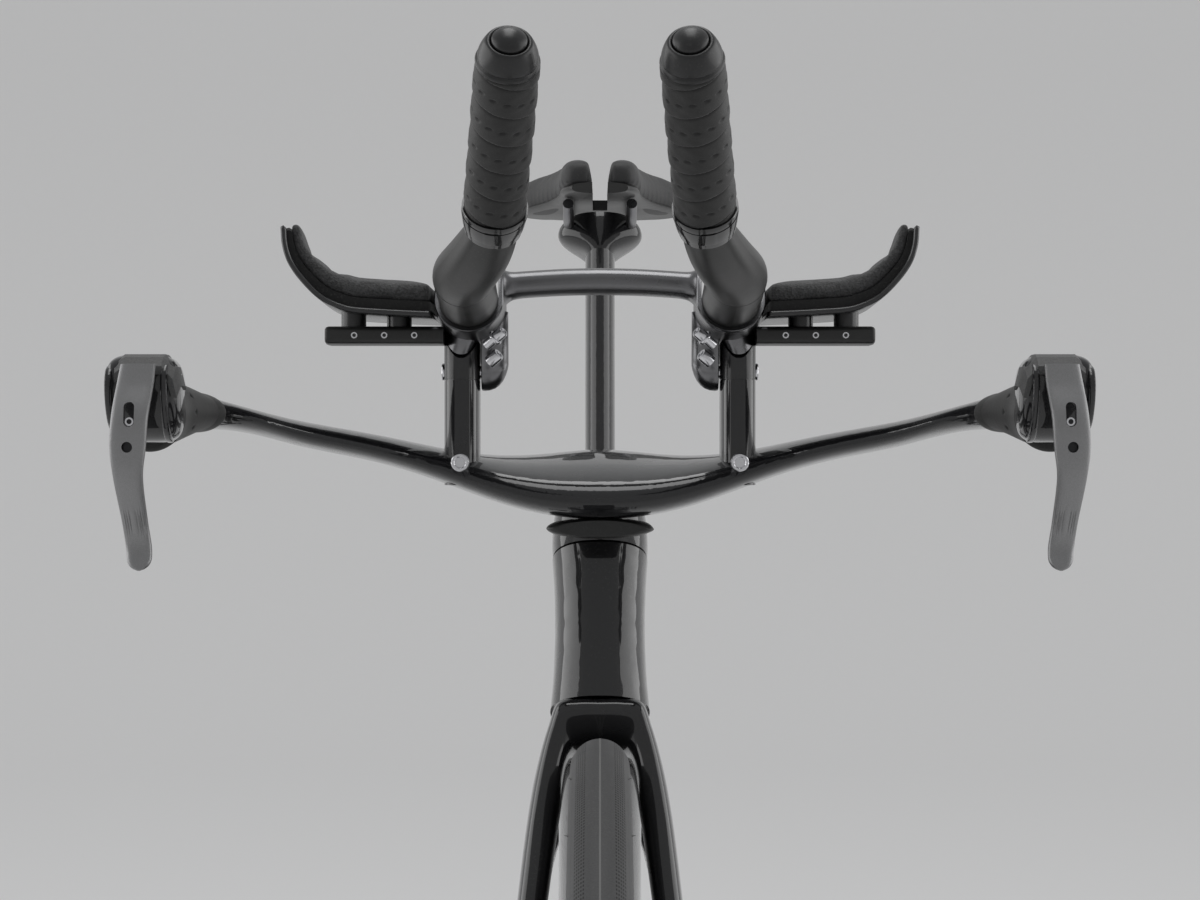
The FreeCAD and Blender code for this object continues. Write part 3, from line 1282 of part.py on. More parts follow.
lever_slot = Part.makeBox(dim.lever_slot_half_width * 2, dim.lever_body_length * 2, dim.lever_body_height * 2,
                          Vector(dim.lever_side - dim.lever_slot_half_width, slot_back - dim.lever_body_length * 2,
                                 slot_floor))
lever_pin = Part.makeCylinder(dim.lever_pin_radius, dim.lever_body_half_width * 2,
                              pivot - AXIS_X * dim.lever_body_half_width, AXIS_X)
lever_body = lever_body.cut([lever_slot, lever_pin])
solid("left_lever_body", lever_body)
solid("right_lever_body", mirrored(lever_body))

LEVER_SHARES = (
    # drop, reach, sideways, width, thickness
    (0.0, -0.1, -0.02, 0.95, 1.0),
    (0.1, 0.2, 0.1, 1.0, 1.05),
    (0.25, 0.85, 0.3, 1.0, 1.1),
    (0.4, 0.8, 0.42, 0.98, 1.05),
    (0.55, 0.45, 0.44, 0.8, 1.0),
    (0.76, -0.8, 0.25, 0.7, 0.95),
    (0.9, -1.2, 0.08, 0.7, 0.95),
    (1.0, -0.75, 0.05, 0.64, 0.8),
)
lever_points = [Vector(dim.lever_side + dim.lever_half_width * side, -dim.lever_reach - dim.lever_bow * reach,
                       dim.lever_top - dim.lever_drop * drop) for drop, reach, side, _, _ in LEVER_SHARES]
lever_wires = []
for point, way, (_, _, _, width_share, thick_share) in zip(lever_points, directions(lever_points), LEVER_SHARES):
    flat = Vector(0, way.z, -way.y)
    flat.normalize()
    lever_wires.append(oval(point, AXIS_X, flat, dim.lever_half_width * width_share,
                            dim.lever_half_thickness * thick_share, 3.2))
blade_lever = skin(lever_wires)
tongue_start = dim.lever_side - dim.lever_tongue_half_width
tongue_disc = Part.makeCylinder(dim.lever_tongue_radius, dim.lever_tongue_half_width * 2,
                                pivot - AXIS_X * dim.lever_tongue_half_width, AXIS_X)
tongue_arm = slab(((pivot.y, pivot.z - dim.lever_tongue_radius), (pivot.y, pivot.z + dim.lever_tongue_radius * 0.85),
                   (-dim.lever_reach, pivot.z + dim.lever_tongue_radius * 0.6),
                   (-dim.lever_reach - dim.lever_half_thickness, pivot.z - dim.lever_tongue_radius)), tongue_start,
                  dim.lever_tongue_half_width * 2)
lever_bore = Part.makeCylinder(dim.lever_pin_bore_radius, dim.lever_body_half_width * 2,
                               pivot - AXIS_X * dim.lever_body_half_width, AXIS_X)
lever = fused([blade_lever, tongue_disc, tongue_arm]).cut(lever_bore)
solid("left_brake_lever", lever)
solid("right_brake_lever", mirrored(lever))

foot_bolt = Part.makeCylinder(dim.foot_bolt_radius, dim.foot_bolt_reach - dim.riser_setback,
                              Vector(dim.riser_side, -dim.foot_bolt_reach, dim.foot_bolt_height), AXIS_Y)
foot_bolt = foot_bolt.cut([base_bar, riser])
foot_bolt = min(foot_bolt.Solids, key=lambda item: item.BoundBox.YMin)
solid("cockpit_bolts", Part.makeCompound([lever_pin, mirrored(lever_pin), foot_bolt, mirrored(foot_bolt)]))

# Seatpost, saddle rails, shell and pad.
post_end = dim.clamp_height - dim.post_half_chord * 1.15
POST_HEAD_SHARES = ((0.0, 0.34, 0.9), (0.45, 0.62, 0.98), (0.78, 1.0, 0.95), (1.0, 0.98, 0.92), (1.25, 0.72, 0.85))
head_rise = dim.clamp_height - post_end
post_start = post_bottom + dim.post_half_chord * 1.5
POST_SHARES = (0.0, 0.3, 0.6, 0.85, 1.0)
post = skin([oval(on_seat_tube(post_start + (post_end + head_rise * 0.2 - post_start) * share), AXIS_X, seat_back,
                  dim.post_half_width, dim.post_half_chord, 2.3) for share in POST_SHARES])
post_head = skin([oval(on_seat_tube(post_end - dim.post_half_chord * 0.1) + seat_up * (head_rise * share), AXIS_X,
                       seat_back, dim.post_head_half_width * width_share, dim.post_half_chord * chord_share, 2.2)
                  for share, width_share, chord_share in POST_HEAD_SHARES])
RAIL_SHARES = ((0.2, 0.62), (0.26, 0.3), (0.34, 0.04), (0.45, 0.0), (0.6, 0.0), (0.68, 0.06), (0.76, 0.32),
               (0.83, 0.62))
shell_level = dim.saddle_top - dim.saddle_thickness
rail_points = [Vector(dim.saddle_rail_side, dim.saddle_nose + dim.saddle_length * along,
                      dim.clamp_height + (shell_level - dim.clamp_height) * up) for along, up in RAIL_SHARES]
saddle_rail = tube(rail_points, [dim.saddle_rail_radius] * len(rail_points))
whole_post = fused([post, post_head]).cut([saddle_rail, mirrored(saddle_rail)])
solid("seatpost", max(whole_post.Solids, key=lambda item: item.Volume))
solid("saddle_rails", both(saddle_rail))

SADDLE_SHARES = (
    # along, half width, top drop, thickness
    (0.0, 0.30, 0.28, 0.62),
    (0.05, 0.38, 0.1, 0.85),
    (0.2, 0.44, 0.02, 1.0),
    (0.42, 0.52, 0.0, 1.0),
    (0.62, 0.72, 0.02, 1.0),
    (0.8, 0.97, 0.02, 1.0),
    (0.93, 0.98, 0.02, 0.95),
    (1.0, 0.78, 0.16, 0.62),
)
pad_wires = []
plate_wires = []
for along, width_share, drop_share, thick_share in SADDLE_SHARES:
    y = dim.saddle_nose + dim.saddle_length * along
    half = dim.saddle_half_width * width_share
    top = dim.saddle_top - dim.saddle_thickness * drop_share
    tall = dim.saddle_thickness * thick_share
    middle = (half + dim.saddle_channel) / 2
    pad_wires.append(oval(Vector(middle, y, top - tall / 2), AXIS_X, AXIS_Z, half - middle, tall / 2, 2.5))
    plate_wires.append(oval(Vector(0, y, shell_level), AXIS_X, AXIS_Z, half * 0.9,
                            dim.shell_plate_half_thickness, 3.0))
plate = skin(plate_wires)
nose_slot = Part.makeBox(dim.saddle_channel * 2, dim.saddle_length * 0.7, dim.saddle_thickness * 2,
                         Vector(-dim.saddle_channel, dim.saddle_nose - dim.saddle_length * 0.1,
                                shell_level - dim.saddle_thickness))
plate = plate.cut(nose_slot)
solid("saddle_shell", plate)
saddle_half = skin(pad_wires).cut(plate).cut(saddle_rail)
saddle_half = max(saddle_half.Solids, key=lambda item: item.Volume)
solid("saddle_pad", both(saddle_half))


# Drive: chain path round four toothed wheels, in the side view.
def pitch_radius(teeth):
    """Radius on which the rollers of a toothed wheel lie."""
    return teeth * dim.chain_pitch / (2.0 * math.pi)


guide = Vector(0, rear_axle.y + dim.guide_setback, rear_axle.z - dim.guide_drop)


def tension_centre(angle):
    """Lower pulley's centre for a cage angle from straight down towards the front."""
    turn = math.radians(angle)
    return guide + Vector(0, -math.sin(turn), -math.cos(turn)) * dim.cage_length


def chain_wheels(angle):
    """Centres, pitch radii and senses in the order that the chain meets them."""
    return [(bracket, pitch_radius(RING_TEETH), -1), (rear_axle, pitch_radius(COG_TEETH[CHAIN_COG]), -1),
            (guide, pitch_radius(PULLEY_TEETH), 1), (tension_centre(angle), pitch_radius(PULLEY_TEETH), -1)]


def chain_path(wheels, offset=0.0):
    """Tangent points of the belt round directed wheels, with its offset loop when asked."""
    spans = []
    count = len(wheels)
    for k in range(count):
        centre, radius, sense = wheels[k]
        after, after_radius, after_sense = wheels[(k + 1) % count]
        radius += offset * sense
        after_radius += offset * after_sense
        run = after - centre
        length = run.Length
        unit = Vector(0, run.y / length, run.z / length)
        normal = Vector(0, -unit.z, unit.y)
        lean = (after_sense * after_radius - sense * radius) / length
        level = math.sqrt(max(1.0 - lean * lean, 0.0))
        side = normal * level + unit * lean
        spans.append((centre - side * (sense * radius), after - side * (after_sense * after_radius)))
    return spans


def wheel_turn(centre, begin, end, sense):
    """Start angle and swept angle of the belt on a wheel."""
    first = math.atan2(begin.z - centre.z, begin.y - centre.y)
    last = math.atan2(end.z - centre.z, end.y - centre.y)
    swept = (last - first) * sense
    while swept < 0:
        swept += 2.0 * math.pi
    return first, swept * sense


def path_segments(wheels, offset=0.0):
    """Arcs and straights of the belt in order, each with its length."""
    spans = chain_path(wheels, offset)
    made = []
    for k, (centre, radius, sense) in enumerate(wheels):
        begin = spans[k - 1][1]
        end = spans[k][0]
        first, swept = wheel_turn(centre, begin, end, sense)
        reach = radius + offset * sense
        made.append(("arc", centre, reach, first, swept, abs(swept) * reach))
        made.append(("run", spans[k][0], spans[k][1], 0.0, 0.0, (spans[k][1] - spans[k][0]).Length))
    return made


def path_length(angle):
    """Length of the whole belt for a cage angle."""
    return sum(segment[5] for segment in path_segments(chain_wheels(angle)))


# The cage angle is trimmed until the loop holds a whole even number of links.
link_count = 2 * round(path_length(dim.cage_angle) / dim.chain_pitch / 2)
low_angle = dim.cage_angle - 30.0
high_angle = dim.cage_angle + 30.0
rising = path_length(high_angle) > path_length(low_angle)
for _ in range(60):
    cage_turn = (low_angle + high_angle) / 2
    if (path_length(cage_turn) > link_count * dim.chain_pitch) == rising:
        high_angle = cage_turn
    else:
        low_angle = cage_turn
wheels = chain_wheels(cage_turn)
segments = path_segments(wheels)
tension = wheels[3][0]
link_step = sum(segment[5] for segment in segments) / link_count
print("chain links", link_count, "step", round(link_step, 4), "cage angle", round(cage_turn, 2))


def loop_face(offset):
    """Face inside the offset belt loop."""
    edges = []
    for segment in path_segments(wheels, offset):
        if segment[0] == "run":
            edges.append(Part.makeLine(segment[1], segment[2]))
        else:
            _, centre, reach, first, swept, _ = segment
            spots = [centre + Vector(0, math.cos(first + swept * part), math.sin(first + swept * part)) * reach
                     for part in (0.0, 0.5, 1.0)]
            edges.append(Part.Arc(*spots).toShape())
    return Part.Face(Part.Wire(Part.__sortEdges__(edges)))


rollers = []
turn_at_wheel = {}
for k in range(link_count):
    travelled = link_step * k
    for index, segment in enumerate(segments):
        if travelled <= segment[5]:
            break
        travelled -= segment[5]
    part = travelled / segment[5]
    if segment[0] == "run":
        spot = segment[1] + (segment[2] - segment[1]) * part
    else:
        turn = segment[3] + segment[4] * part
        spot = segment[1] + Vector(0, math.cos(turn), math.sin(turn)) * segment[2]
        turn_at_wheel.setdefault(index // 2, turn)
    rollers.append(spot)

chain_half = dim.roller_length / 2
ribbon = loop_face(-dim.link_plate_half_height).cut(loop_face(dim.link_plate_half_height))
left_ribbon = ribbon.extrude(AXIS_X * dim.link_plate_thickness)
left_ribbon.translate(AXIS_X * (chain_half - dim.chain_side))
right_ribbon = ribbon.extrude(AXIS_X * -dim.link_plate_thickness)
right_ribbon.translate(AXIS_X * (-chain_half - dim.chain_side))
roller_start = AXIS_X * (-chain_half - dim.chain_side)
roller_solids = [Part.makeCylinder(dim.roller_radius, dim.roller_length, spot + roller_start, AXIS_X)
                 for spot in rollers]
chain_solids = left_ribbon.Solids + right_ribbon.Solids + roller_solids
solid("chain", Part.makeCompound(chain_solids))


def toothed(teeth, centre, side, thickness, phase, bore):
    """Toothed wheel with round gaps that clear the rollers."""
    radius = pitch_radius(teeth)
    outer = radius + dim.tooth_height
    gap = dim.tooth_gap_radius
    seat = radius + dim.tooth_gap_lift
    reach = (outer ** 2 + seat ** 2 - gap ** 2) / (2.0 * outer * seat)
    half = math.acos(reach)
    edges = []
    for k in range(teeth):
        turn = phase + 2.0 * math.pi * k / teeth
        after = phase + 2.0 * math.pi * (k + 1) / teeth
        gap_spots = [Vector(0, math.cos(turn - half), math.sin(turn - half)) * outer,
                     Vector(0, math.cos(turn), math.sin(turn)) * (seat - gap),
                     Vector(0, math.cos(turn + half), math.sin(turn + half)) * outer]
        edges.append(Part.Arc(*gap_spots).toShape())
        middle = (turn + after) / 2
        tip_spots = [gap_spots[2], Vector(0, math.cos(middle), math.sin(middle)) * outer,
                     Vector(0, math.cos(after - half), math.sin(after - half)) * outer]
        edges.append(Part.Arc(*tip_spots).toShape())
    face = Part.Face(Part.Wire(edges))
    hole = Part.Face(Part.Wire(Part.Circle(MIDDLE, AXIS_X, bore).toShape()))
    plate = face.cut(hole).extrude(AXIS_X * thickness)
    plate.translate(centre + AXIS_X * (-side - thickness / 2))
    return plate.Solids[0]


solid("chainring", toothed(RING_TEETH, bracket, dim.chain_side, dim.ring_thickness, turn_at_wheel[0],
                           dim.ring_bore_radius))
cogs = []
for k, teeth in enumerate(COG_TEETH):
    side = dim.chain_side + dim.cog_spacing * (CHAIN_COG - k)
    cogs.append(toothed(teeth, rear_axle, side, dim.cog_thickness, turn_at_wheel[1], dim.freehub_radius))
freehub_outline = (
    ("freehub_bore_radius", "freehub_inner"),
    ("freehub_radius", "freehub_inner"),
    ("freehub_radius", "freehub_outer"),
    ("freehub_bore_radius", "freehub_outer"),
)
freehub = turned("freehub_body", freehub_outline, rear_axle, -AXIS_X)
doc.recompute()
solid("cassette", Part.makeCompound(cogs + freehub.Shape.Solids))
for name, centre, index in (("guide_pulley", guide, 2), ("tension_pulley", tension, 3)):
    solid(name, toothed(PULLEY_TEETH, centre, dim.chain_side, dim.pulley_thickness, turn_at_wheel[index],
                        dim.pulley_bore_radius))

# Derailleur: fixed knuckle on the hanger, swinging link, second knuckle and sprung cage.
cage_way = (tension - guide)
cage_way.normalize()
cage_side = AXIS_X.cross(cage_way)


def cage_plate(start, depth):
    """Plate with round ends that carries both pulleys."""
    half = dim.cage_plate_half_width
    corners = [guide + cage_side * half, guide - cage_side * half, tension - cage_side * half,
               tension + cage_side * half]
    middle = Part.Face(Part.makePolygon(corners + [corners[0]])).extrude(AXIS_X * depth)
    ends = [Part.makeCylinder(half, abs(depth), spot, AXIS_X * (1 if depth > 0 else -1)) for spot in (guide, tension)]
    plate = fused([middle] + ends)
    plate.translate(AXIS_X * start)
    return plate


inner_face = -dim.chain_side + dim.cage_half_gap
outer_face = -dim.chain_side - dim.cage_half_gap
cage_parts = [cage_plate(inner_face, dim.cage_plate_thickness), cage_plate(outer_face, -dim.cage_plate_thickness)]
for spot in (guide, tension):
    cage_parts.append(Part.makeCylinder(dim.pulley_pin_radius, dim.cage_half_gap * 2, spot + AXIS_X * outer_face, AXIS_X))
stub_length = dim.knuckle_half_width * 1.6
stub_start = outer_face - dim.cage_plate_thickness
cage_parts.append(Part.makeCylinder(dim.cage_stub_radius, stub_length, guide + AXIS_X * stub_start, -AXIS_X))
solid("derailleur_cage", fused(cage_parts))

link_start = Vector(-dim.link_side, rear_axle.y + dim.link_setback, dim.link_level)
link_end = link_start + AXIS_Y * dim.link_length
link_half = dim.link_height / 2
link_bar = Part.makeBox(dim.link_half_width * 2, dim.link_length, dim.link_height,
                        link_start - AXIS_X * dim.link_half_width - AXIS_Z * link_half)
link_parts = [link_bar]
for spot in (link_start, link_end):
    link_parts.append(Part.makeCylinder(dim.link_half_width, dim.link_height, spot - AXIS_Z * link_half, AXIS_Z))
pin_drills = [Part.makeCylinder(dim.link_pin_bore_radius, dim.link_height * 2, spot - AXIS_Z * dim.link_height, AXIS_Z)
              for spot in (link_start, link_end)]
solid("derailleur_link", fused(link_parts).cut(pin_drills))


def fork_plates(centre):
    """Two plates above and below the link with the pin through them."""
    low = centre - AXIS_Z * (link_half + dim.knuckle_gap + dim.knuckle_plate)
    high = centre + AXIS_Z * (link_half + dim.knuckle_gap)
    parts = [Part.makeCylinder(dim.link_half_width, dim.knuckle_plate, spot, AXIS_Z) for spot in (low, high)]
    parts.append(Part.makeCylinder(dim.link_pin_radius, high.z - low.z, low, AXIS_Z))
    return parts, low, high


fixed_parts, fixed_low, fixed_high = fork_plates(link_start)
mount_half = dim.link_half_width
for level in (fixed_low, fixed_high):
    fixed_parts.append(Part.makeBox(mount_half * 2, dim.link_setback + mount_half, dim.knuckle_plate,
                                    Vector(link_start.x - mount_half, link_start.y - dim.link_setback - mount_half,
                                           level.z)))
spine_height = fixed_high.z + dim.knuckle_plate - fixed_low.z
fixed_parts.append(Part.makeBox(mount_half * 2, mount_half, spine_height,
                                Vector(link_start.x - mount_half, link_start.y - dim.link_setback - mount_half,
                                       fixed_low.z)))
fixed_knuckle = fused(fixed_parts).cut(pieces["frame"].Shape)
solid("derailleur_mount", max(fixed_knuckle.Solids, key=lambda item: item.Volume))

swing_parts, swing_low, swing_high = fork_plates(link_end)
swing_spine = Part.makeBox(dim.link_half_width * 2, dim.knuckle_plate, swing_high.z + dim.knuckle_plate - swing_low.z,
                           Vector(link_end.x - dim.link_half_width, link_end.y + dim.link_half_width * 1.1,
                                  swing_low.z))
swing_parts.append(swing_spine)
for level in (swing_low, swing_high):
    swing_parts.append(Part.makeBox(dim.link_half_width * 2, dim.link_half_width * 1.3, dim.knuckle_plate,
                                    Vector(link_end.x - dim.link_half_width, link_end.y, level.z)))
knuckle_side = stub_start - dim.knuckle_gap
arm_depth = stub_length - dim.knuckle_gap
arm_start = Vector(knuckle_side, guide.y, guide.z)
swing_parts.append(Part.makeCylinder(dim.knuckle_half_width, arm_depth, arm_start, -AXIS_X))
arm_corners = ((guide.y - dim.knuckle_half_width * 0.7, guide.z + dim.knuckle_half_width * 0.7),
               (guide.y + dim.knuckle_half_width * 0.7, guide.z - dim.knuckle_half_width * 0.7),
               (link_end.y + dim.link_half_width * 1.1 + dim.knuckle_plate, swing_low.z),
               (link_end.y + dim.link_half_width * 1.1 + dim.knuckle_plate, swing_low.z + dim.knuckle_plate),
               (link_end.y - dim.link_half_width * 0.5, swing_low.z + dim.knuckle_plate))
swing_parts.append(slab(arm_corners, knuckle_side, -arm_depth))
stub_bore = Part.makeCylinder(dim.cage_stub_bore_radius, stub_length * 2, guide + AXIS_X * inner_face, -AXIS_X)
solid("derailleur_knuckle", fused(swing_parts).cut(stub_bore))


# Cranks with the spindle, and pedals on their own spindles.
def crank(side, ahead):
    """Crank arm with its boss and pedal spindle."""
    inner = dim.crank_inner_side * side
    boss_way = AXIS_X * side
    tip = bracket + Vector(inner, ahead * dim.crank_length, 0)
    root = bracket + AXIS_X * inner
    middle = AXIS_X * (side * dim.crank_thickness / 2)
    arm = skin([oval(root + middle + Vector(0, ahead * dim.crank_length * share, 0), AXIS_X, AXIS_Z,
                     dim.crank_thickness / 2 * thick, radius, 3.0)
                for share, thick, radius in ((0.0, 0.98, dim.crank_boss_radius * 0.95),
                                             (0.2, 0.95, dim.crank_boss_radius * 0.8),
                                             (0.8, 0.9, dim.crank_tip_radius * 0.95),
                                             (1.0, 0.9, dim.crank_tip_radius * 0.9))])
    boss = Part.makeCylinder(dim.crank_boss_radius, dim.crank_thickness, root, boss_way)
    eye = Part.makeCylinder(dim.crank_tip_radius, dim.crank_thickness * 0.9, tip + boss_way * (dim.crank_thickness * 0.05),
                            boss_way)
    pin = Part.makeCylinder(dim.pedal_spindle_radius, dim.pedal_spindle_length + dim.crank_thickness * 0.5,
                            tip + middle, boss_way)
    return [arm, boss, eye, pin], tip


right_parts, right_tip = crank(-1, -1)
left_parts, left_tip = crank(1, 1)
spindle_end = dim.crank_inner_side + dim.crank_thickness
right_parts.append(Part.makeCylinder(dim.spindle_radius, spindle_end * 2, bracket - AXIS_X * spindle_end, AXIS_X))
spider_width = dim.crank_inner_side + dim.crank_thickness / 2 - dim.chain_side + dim.ring_thickness / 2
right_parts.append(Part.makeCylinder(dim.spider_radius, spider_width,
                                     bracket - AXIS_X * (dim.chain_side - dim.ring_thickness / 2), -AXIS_X))
right_crank = fused(right_parts).cut(
    Part.makeCylinder(dim.cup_lip_radius * 1.05, dim.cup_lip_length * 1.3,
                      bracket - AXIS_X * (dim.shell_width / 2 + dim.cup_lip_length * 1.1), AXIS_X).cut(
        Part.makeCylinder(dim.spindle_radius, spindle_end * 2, bracket - AXIS_X * spindle_end, AXIS_X)))
solid("right_crank", right_crank)
spindle_hole = Part.makeCylinder(dim.spindle_radius, spindle_end * 2, bracket - AXIS_X * spindle_end, AXIS_X)
left_crank = fused(left_parts).cut(spindle_hole)
solid("left_crank", max(left_crank.Solids, key=lambda item: item.Volume))


def pedal(name, side, tip):
    """Flat clip-in pedal body with a bore for its spindle."""
    body = doc.addObject("PartDesign::Body", name)
    outline = (
        ("0", "- pedal_front"),
        ("pedal_width/2 - pedal_nose_half_width", "- pedal_front"),
        ("pedal_width", "- pedal_front/4"),
        ("pedal_width", "pedal_rear/2"),
        ("pedal_width/2 + pedal_nose_half_width", "pedal_rear"),
        ("0", "pedal_rear"),
    )
    if side < 0:
        outline = tuple(("- " + across if across != "0" else "0", up) for across, up in outline)
        outline = tuple((across.replace("- pedal_width/2 - ", "- pedal_width/2 + ")
                         if "pedal_nose" in across and up.startswith("-") else
                         across.replace("- pedal_width/2 + ", "- pedal_width/2 - "), up) for across, up in outline)
    sketch = outline_sketch(body, name + "_outline", "XY_Plane", outline)
    pad = body.newObject("PartDesign::Pad", name + "_pad")
    pad.Profile = sketch
    pad.setExpression("Length", formula("pedal_half_height + pedal_half_height"))
    doc.recompute()
    bore = circle_sketch(body, name + "_bore", "YZ_Plane", (("0", "pedal_half_height", "pedal_bore_radius"),))
    cut = body.newObject("PartDesign::Pocket", name + "_pocket")
    cut.Profile = bore
    cut.Type = 1
    cut.Reversed = side > 0
    start = tip + AXIS_X * (side * (dim.crank_thickness + dim.pedal_gap)) - AXIS_Z * dim.pedal_half_height
    body.Placement = Placement(start, Rotation())
    return keep(name, body)


pedal("left_pedal", 1, left_tip)
pedal("right_pedal", -1, right_tip)

doc.recompute()
os.makedirs("parts", exist_ok=True)
broken = [item.Name for item in doc.Objects if "Invalid" in item.State or "Error" in item.State]
if broken:
    raise RuntimeError("features that failed: %s" % broken)
for label, made in sorted(pieces.items()):
    shape = made.Shape
    if not shape.isValid() or not shape.Solids:
        raise RuntimeError("shape is not a valid solid: %s" % label)
    shape.exportStep("parts/%s.step" % label)
print("pieces", len(pieces))
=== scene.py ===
import math

import bmesh
import bpy
import numpy as np
from mathutils import Matrix, Vector


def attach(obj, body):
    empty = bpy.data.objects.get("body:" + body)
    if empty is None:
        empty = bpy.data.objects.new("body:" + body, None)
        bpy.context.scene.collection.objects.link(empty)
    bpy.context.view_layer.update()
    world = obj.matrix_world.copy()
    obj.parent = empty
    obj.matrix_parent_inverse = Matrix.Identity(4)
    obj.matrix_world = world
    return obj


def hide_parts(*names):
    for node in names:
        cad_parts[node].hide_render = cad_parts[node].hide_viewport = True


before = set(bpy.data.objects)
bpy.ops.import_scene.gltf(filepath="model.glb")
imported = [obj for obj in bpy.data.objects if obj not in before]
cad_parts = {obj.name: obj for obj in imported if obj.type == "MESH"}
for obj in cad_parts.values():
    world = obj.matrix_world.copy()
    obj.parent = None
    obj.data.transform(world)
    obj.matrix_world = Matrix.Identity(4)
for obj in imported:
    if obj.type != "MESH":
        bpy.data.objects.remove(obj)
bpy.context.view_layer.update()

MM = 0.001
TURN = 2.0 * math.pi
WELD = 2e-6
ORIGIN = Vector((0.0, 0.0, 0.0))
ACROSS = Vector((1.0, 0.0, 0.0))
BACKWARD = Vector((0.0, 1.0, 0.0))
FORWARD = Vector((0.0, -1.0, 0.0))
UP = Vector((0.0, 0.0, 1.0))


# Node trees

NUMBER = "NodeSocketFloat"
VECTOR = "NodeSocketVector"
EVEN = (1.0, 1.0, 1.0)


def fill(tree, sockets, values):
    """Link each named socket, or put a plain value straight on it."""
    for key, value in values.items():
        if isinstance(value, bpy.types.NodeSocket):
            tree.links.new(value, sockets[key])
        else:
            sockets[key].default_value = value


def node(tree, kind, values=None, **settings):
    """Add a node, set its options and fill its inputs."""
    made = tree.nodes.new(kind)
    for key, value in settings.items():
        setattr(made, key, value)
    fill(tree, made.inputs, values or {})
    return made


def shader_group(name, inputs, outputs):
    """Empty shader group with named sockets."""
    tree = bpy.data.node_groups.new(name, "ShaderNodeTree")
    for label, kind, value in inputs:
        tree.interface.new_socket(label, in_out="INPUT", socket_type=kind).default_value = value
    for label, kind in outputs:
        tree.interface.new_socket(label, in_out="OUTPUT", socket_type=kind)
    return tree, tree.nodes.new("NodeGroupInput").outputs, tree.nodes.new("NodeGroupOutput").inputs


def math_node(tree, operation, first, second=0.0):
    """Result socket of one sum."""
    return node(tree, "ShaderNodeMath", {0: first, 1: second}, operation=operation).outputs[0]


def ranged(tree, value, low, high, to_low, to_high):
    """Value carried from one range to another, without overshoot."""
    made = node(tree, "ShaderNodeMapRange", {"Value": value, "From Min": low, "From Max": high,
                                             "To Min": to_low, "To Max": to_high})
    return made.outputs["Result"]


def object_place(tree):
    """Object coordinates."""
    return node(tree, "ShaderNodeTexCoord").outputs["Object"]


def make_grain():
    """Fine moulded or sprayed grain: a shade around one and a height."""
    tree, given, out = shader_group("fine_grain", (("Scale", NUMBER, 400.0), ("Contrast", NUMBER, 0.1),
                                                   ("Stretch", VECTOR, EVEN)),
                                    (("Shade", NUMBER), ("Height", NUMBER)))
    place = node(tree, "ShaderNodeVectorMath", {0: object_place(tree), 1: given["Stretch"]},
                 operation="MULTIPLY").outputs[0]
    fleck = node(tree, "ShaderNodeTexNoise", {"Vector": place, "Scale": given["Scale"], "Detail": 4.0,
                                              "Roughness": 0.6}).outputs["Fac"]
    centred = math_node(tree, "SUBTRACT", fleck, 0.5)
    swing = math_node(tree, "MULTIPLY", centred, math_node(tree, "MULTIPLY", given["Contrast"], 3.0))
    fill(tree, out, {"Shade": math_node(tree, "ADD", swing, 1.0), "Height": fleck})
    return tree


def make_handled():
    """Wiping marks and settled dust: a roughness that drifts and a thin dust mask."""
    tree, given, out = shader_group("handled_surface", (("Roughness", NUMBER, 0.4), ("Drift", NUMBER, 0.08),
                                                        ("Dust", NUMBER, 0.05)),
                                    (("Roughness", NUMBER), ("Dust", NUMBER)))
    place = object_place(tree)
    broad = node(tree, "ShaderNodeTexNoise", {"Vector": place, "Scale": 11.0, "Detail": 5.0,
                                              "Roughness": 0.62, "Distortion": 0.4}).outputs["Fac"]
    motes = node(tree, "ShaderNodeTexNoise", {"Vector": place, "Scale": 900.0, "Detail": 2.0}).outputs["Fac"]
    wiped = math_node(tree, "MULTIPLY", ranged(tree, broad, 0.3, 0.7, -1.0, 1.0), given["Drift"])
    settled = math_node(tree, "MULTIPLY", ranged(tree, motes, 0.56, 0.72, 0.0, 1.0),
                        ranged(tree, broad, 0.42, 0.68, 0.0, 1.0))
    fill(tree, out, {"Roughness": math_node(tree, "ADD", given["Roughness"], wiped),
                     "Dust": math_node(tree, "MULTIPLY", settled, given["Dust"])})
    return tree


def make_specks():
    """Cell specks of cut foam: a shade for each cell and its rounded height."""
    tree, given, out = shader_group("foam_specks", (("Scale", NUMBER, 900.0), ("Contrast", NUMBER, 0.4)),
                                    (("Shade", NUMBER), ("Height", NUMBER)))
    place = object_place(tree)
    cell = node(tree, "ShaderNodeTexVoronoi", {"Vector": place, "Scale": given["Scale"]})
    speck = node(tree, "ShaderNodeSeparateColor", {"Color": cell.outputs["Color"]}).outputs[0]
    clump = node(tree, "ShaderNodeTexNoise", {"Vector": place, "Scale": 160.0, "Detail": 3.0}).outputs["Fac"]
    speck = math_node(tree, "ADD", math_node(tree, "MULTIPLY", speck, 0.7),
                      math_node(tree, "MULTIPLY", clump, 0.6))
    swing = math_node(tree, "MULTIPLY", math_node(tree, "SUBTRACT", speck, 0.65), given["Contrast"])
    fill(tree, out, {"Shade": math_node(tree, "ADD", math_node(tree, "MULTIPLY", swing, 2.0), 1.0),
                     "Height": cell.outputs["Distance"]})
    return tree


FINE_GRAIN = make_grain()
HANDLED = make_handled()
SPECKS = make_specks()


def placed(tree, group, values):
    """A shared group in a material with its own values."""
    return node(tree, "ShaderNodeGroup", values, node_tree=group).outputs


def shaded(tree, colour, shade):
    """One colour made darker or lighter by a shade around one."""
    grey = node(tree, "ShaderNodeCombineColor", {0: shade, 1: shade, 2: shade}).outputs[0]
    made = node(tree, "ShaderNodeMix", {0: 1.0, 6: colour, 7: grey}, data_type="RGBA", blend_type="MULTIPLY")
    return made.outputs[2]


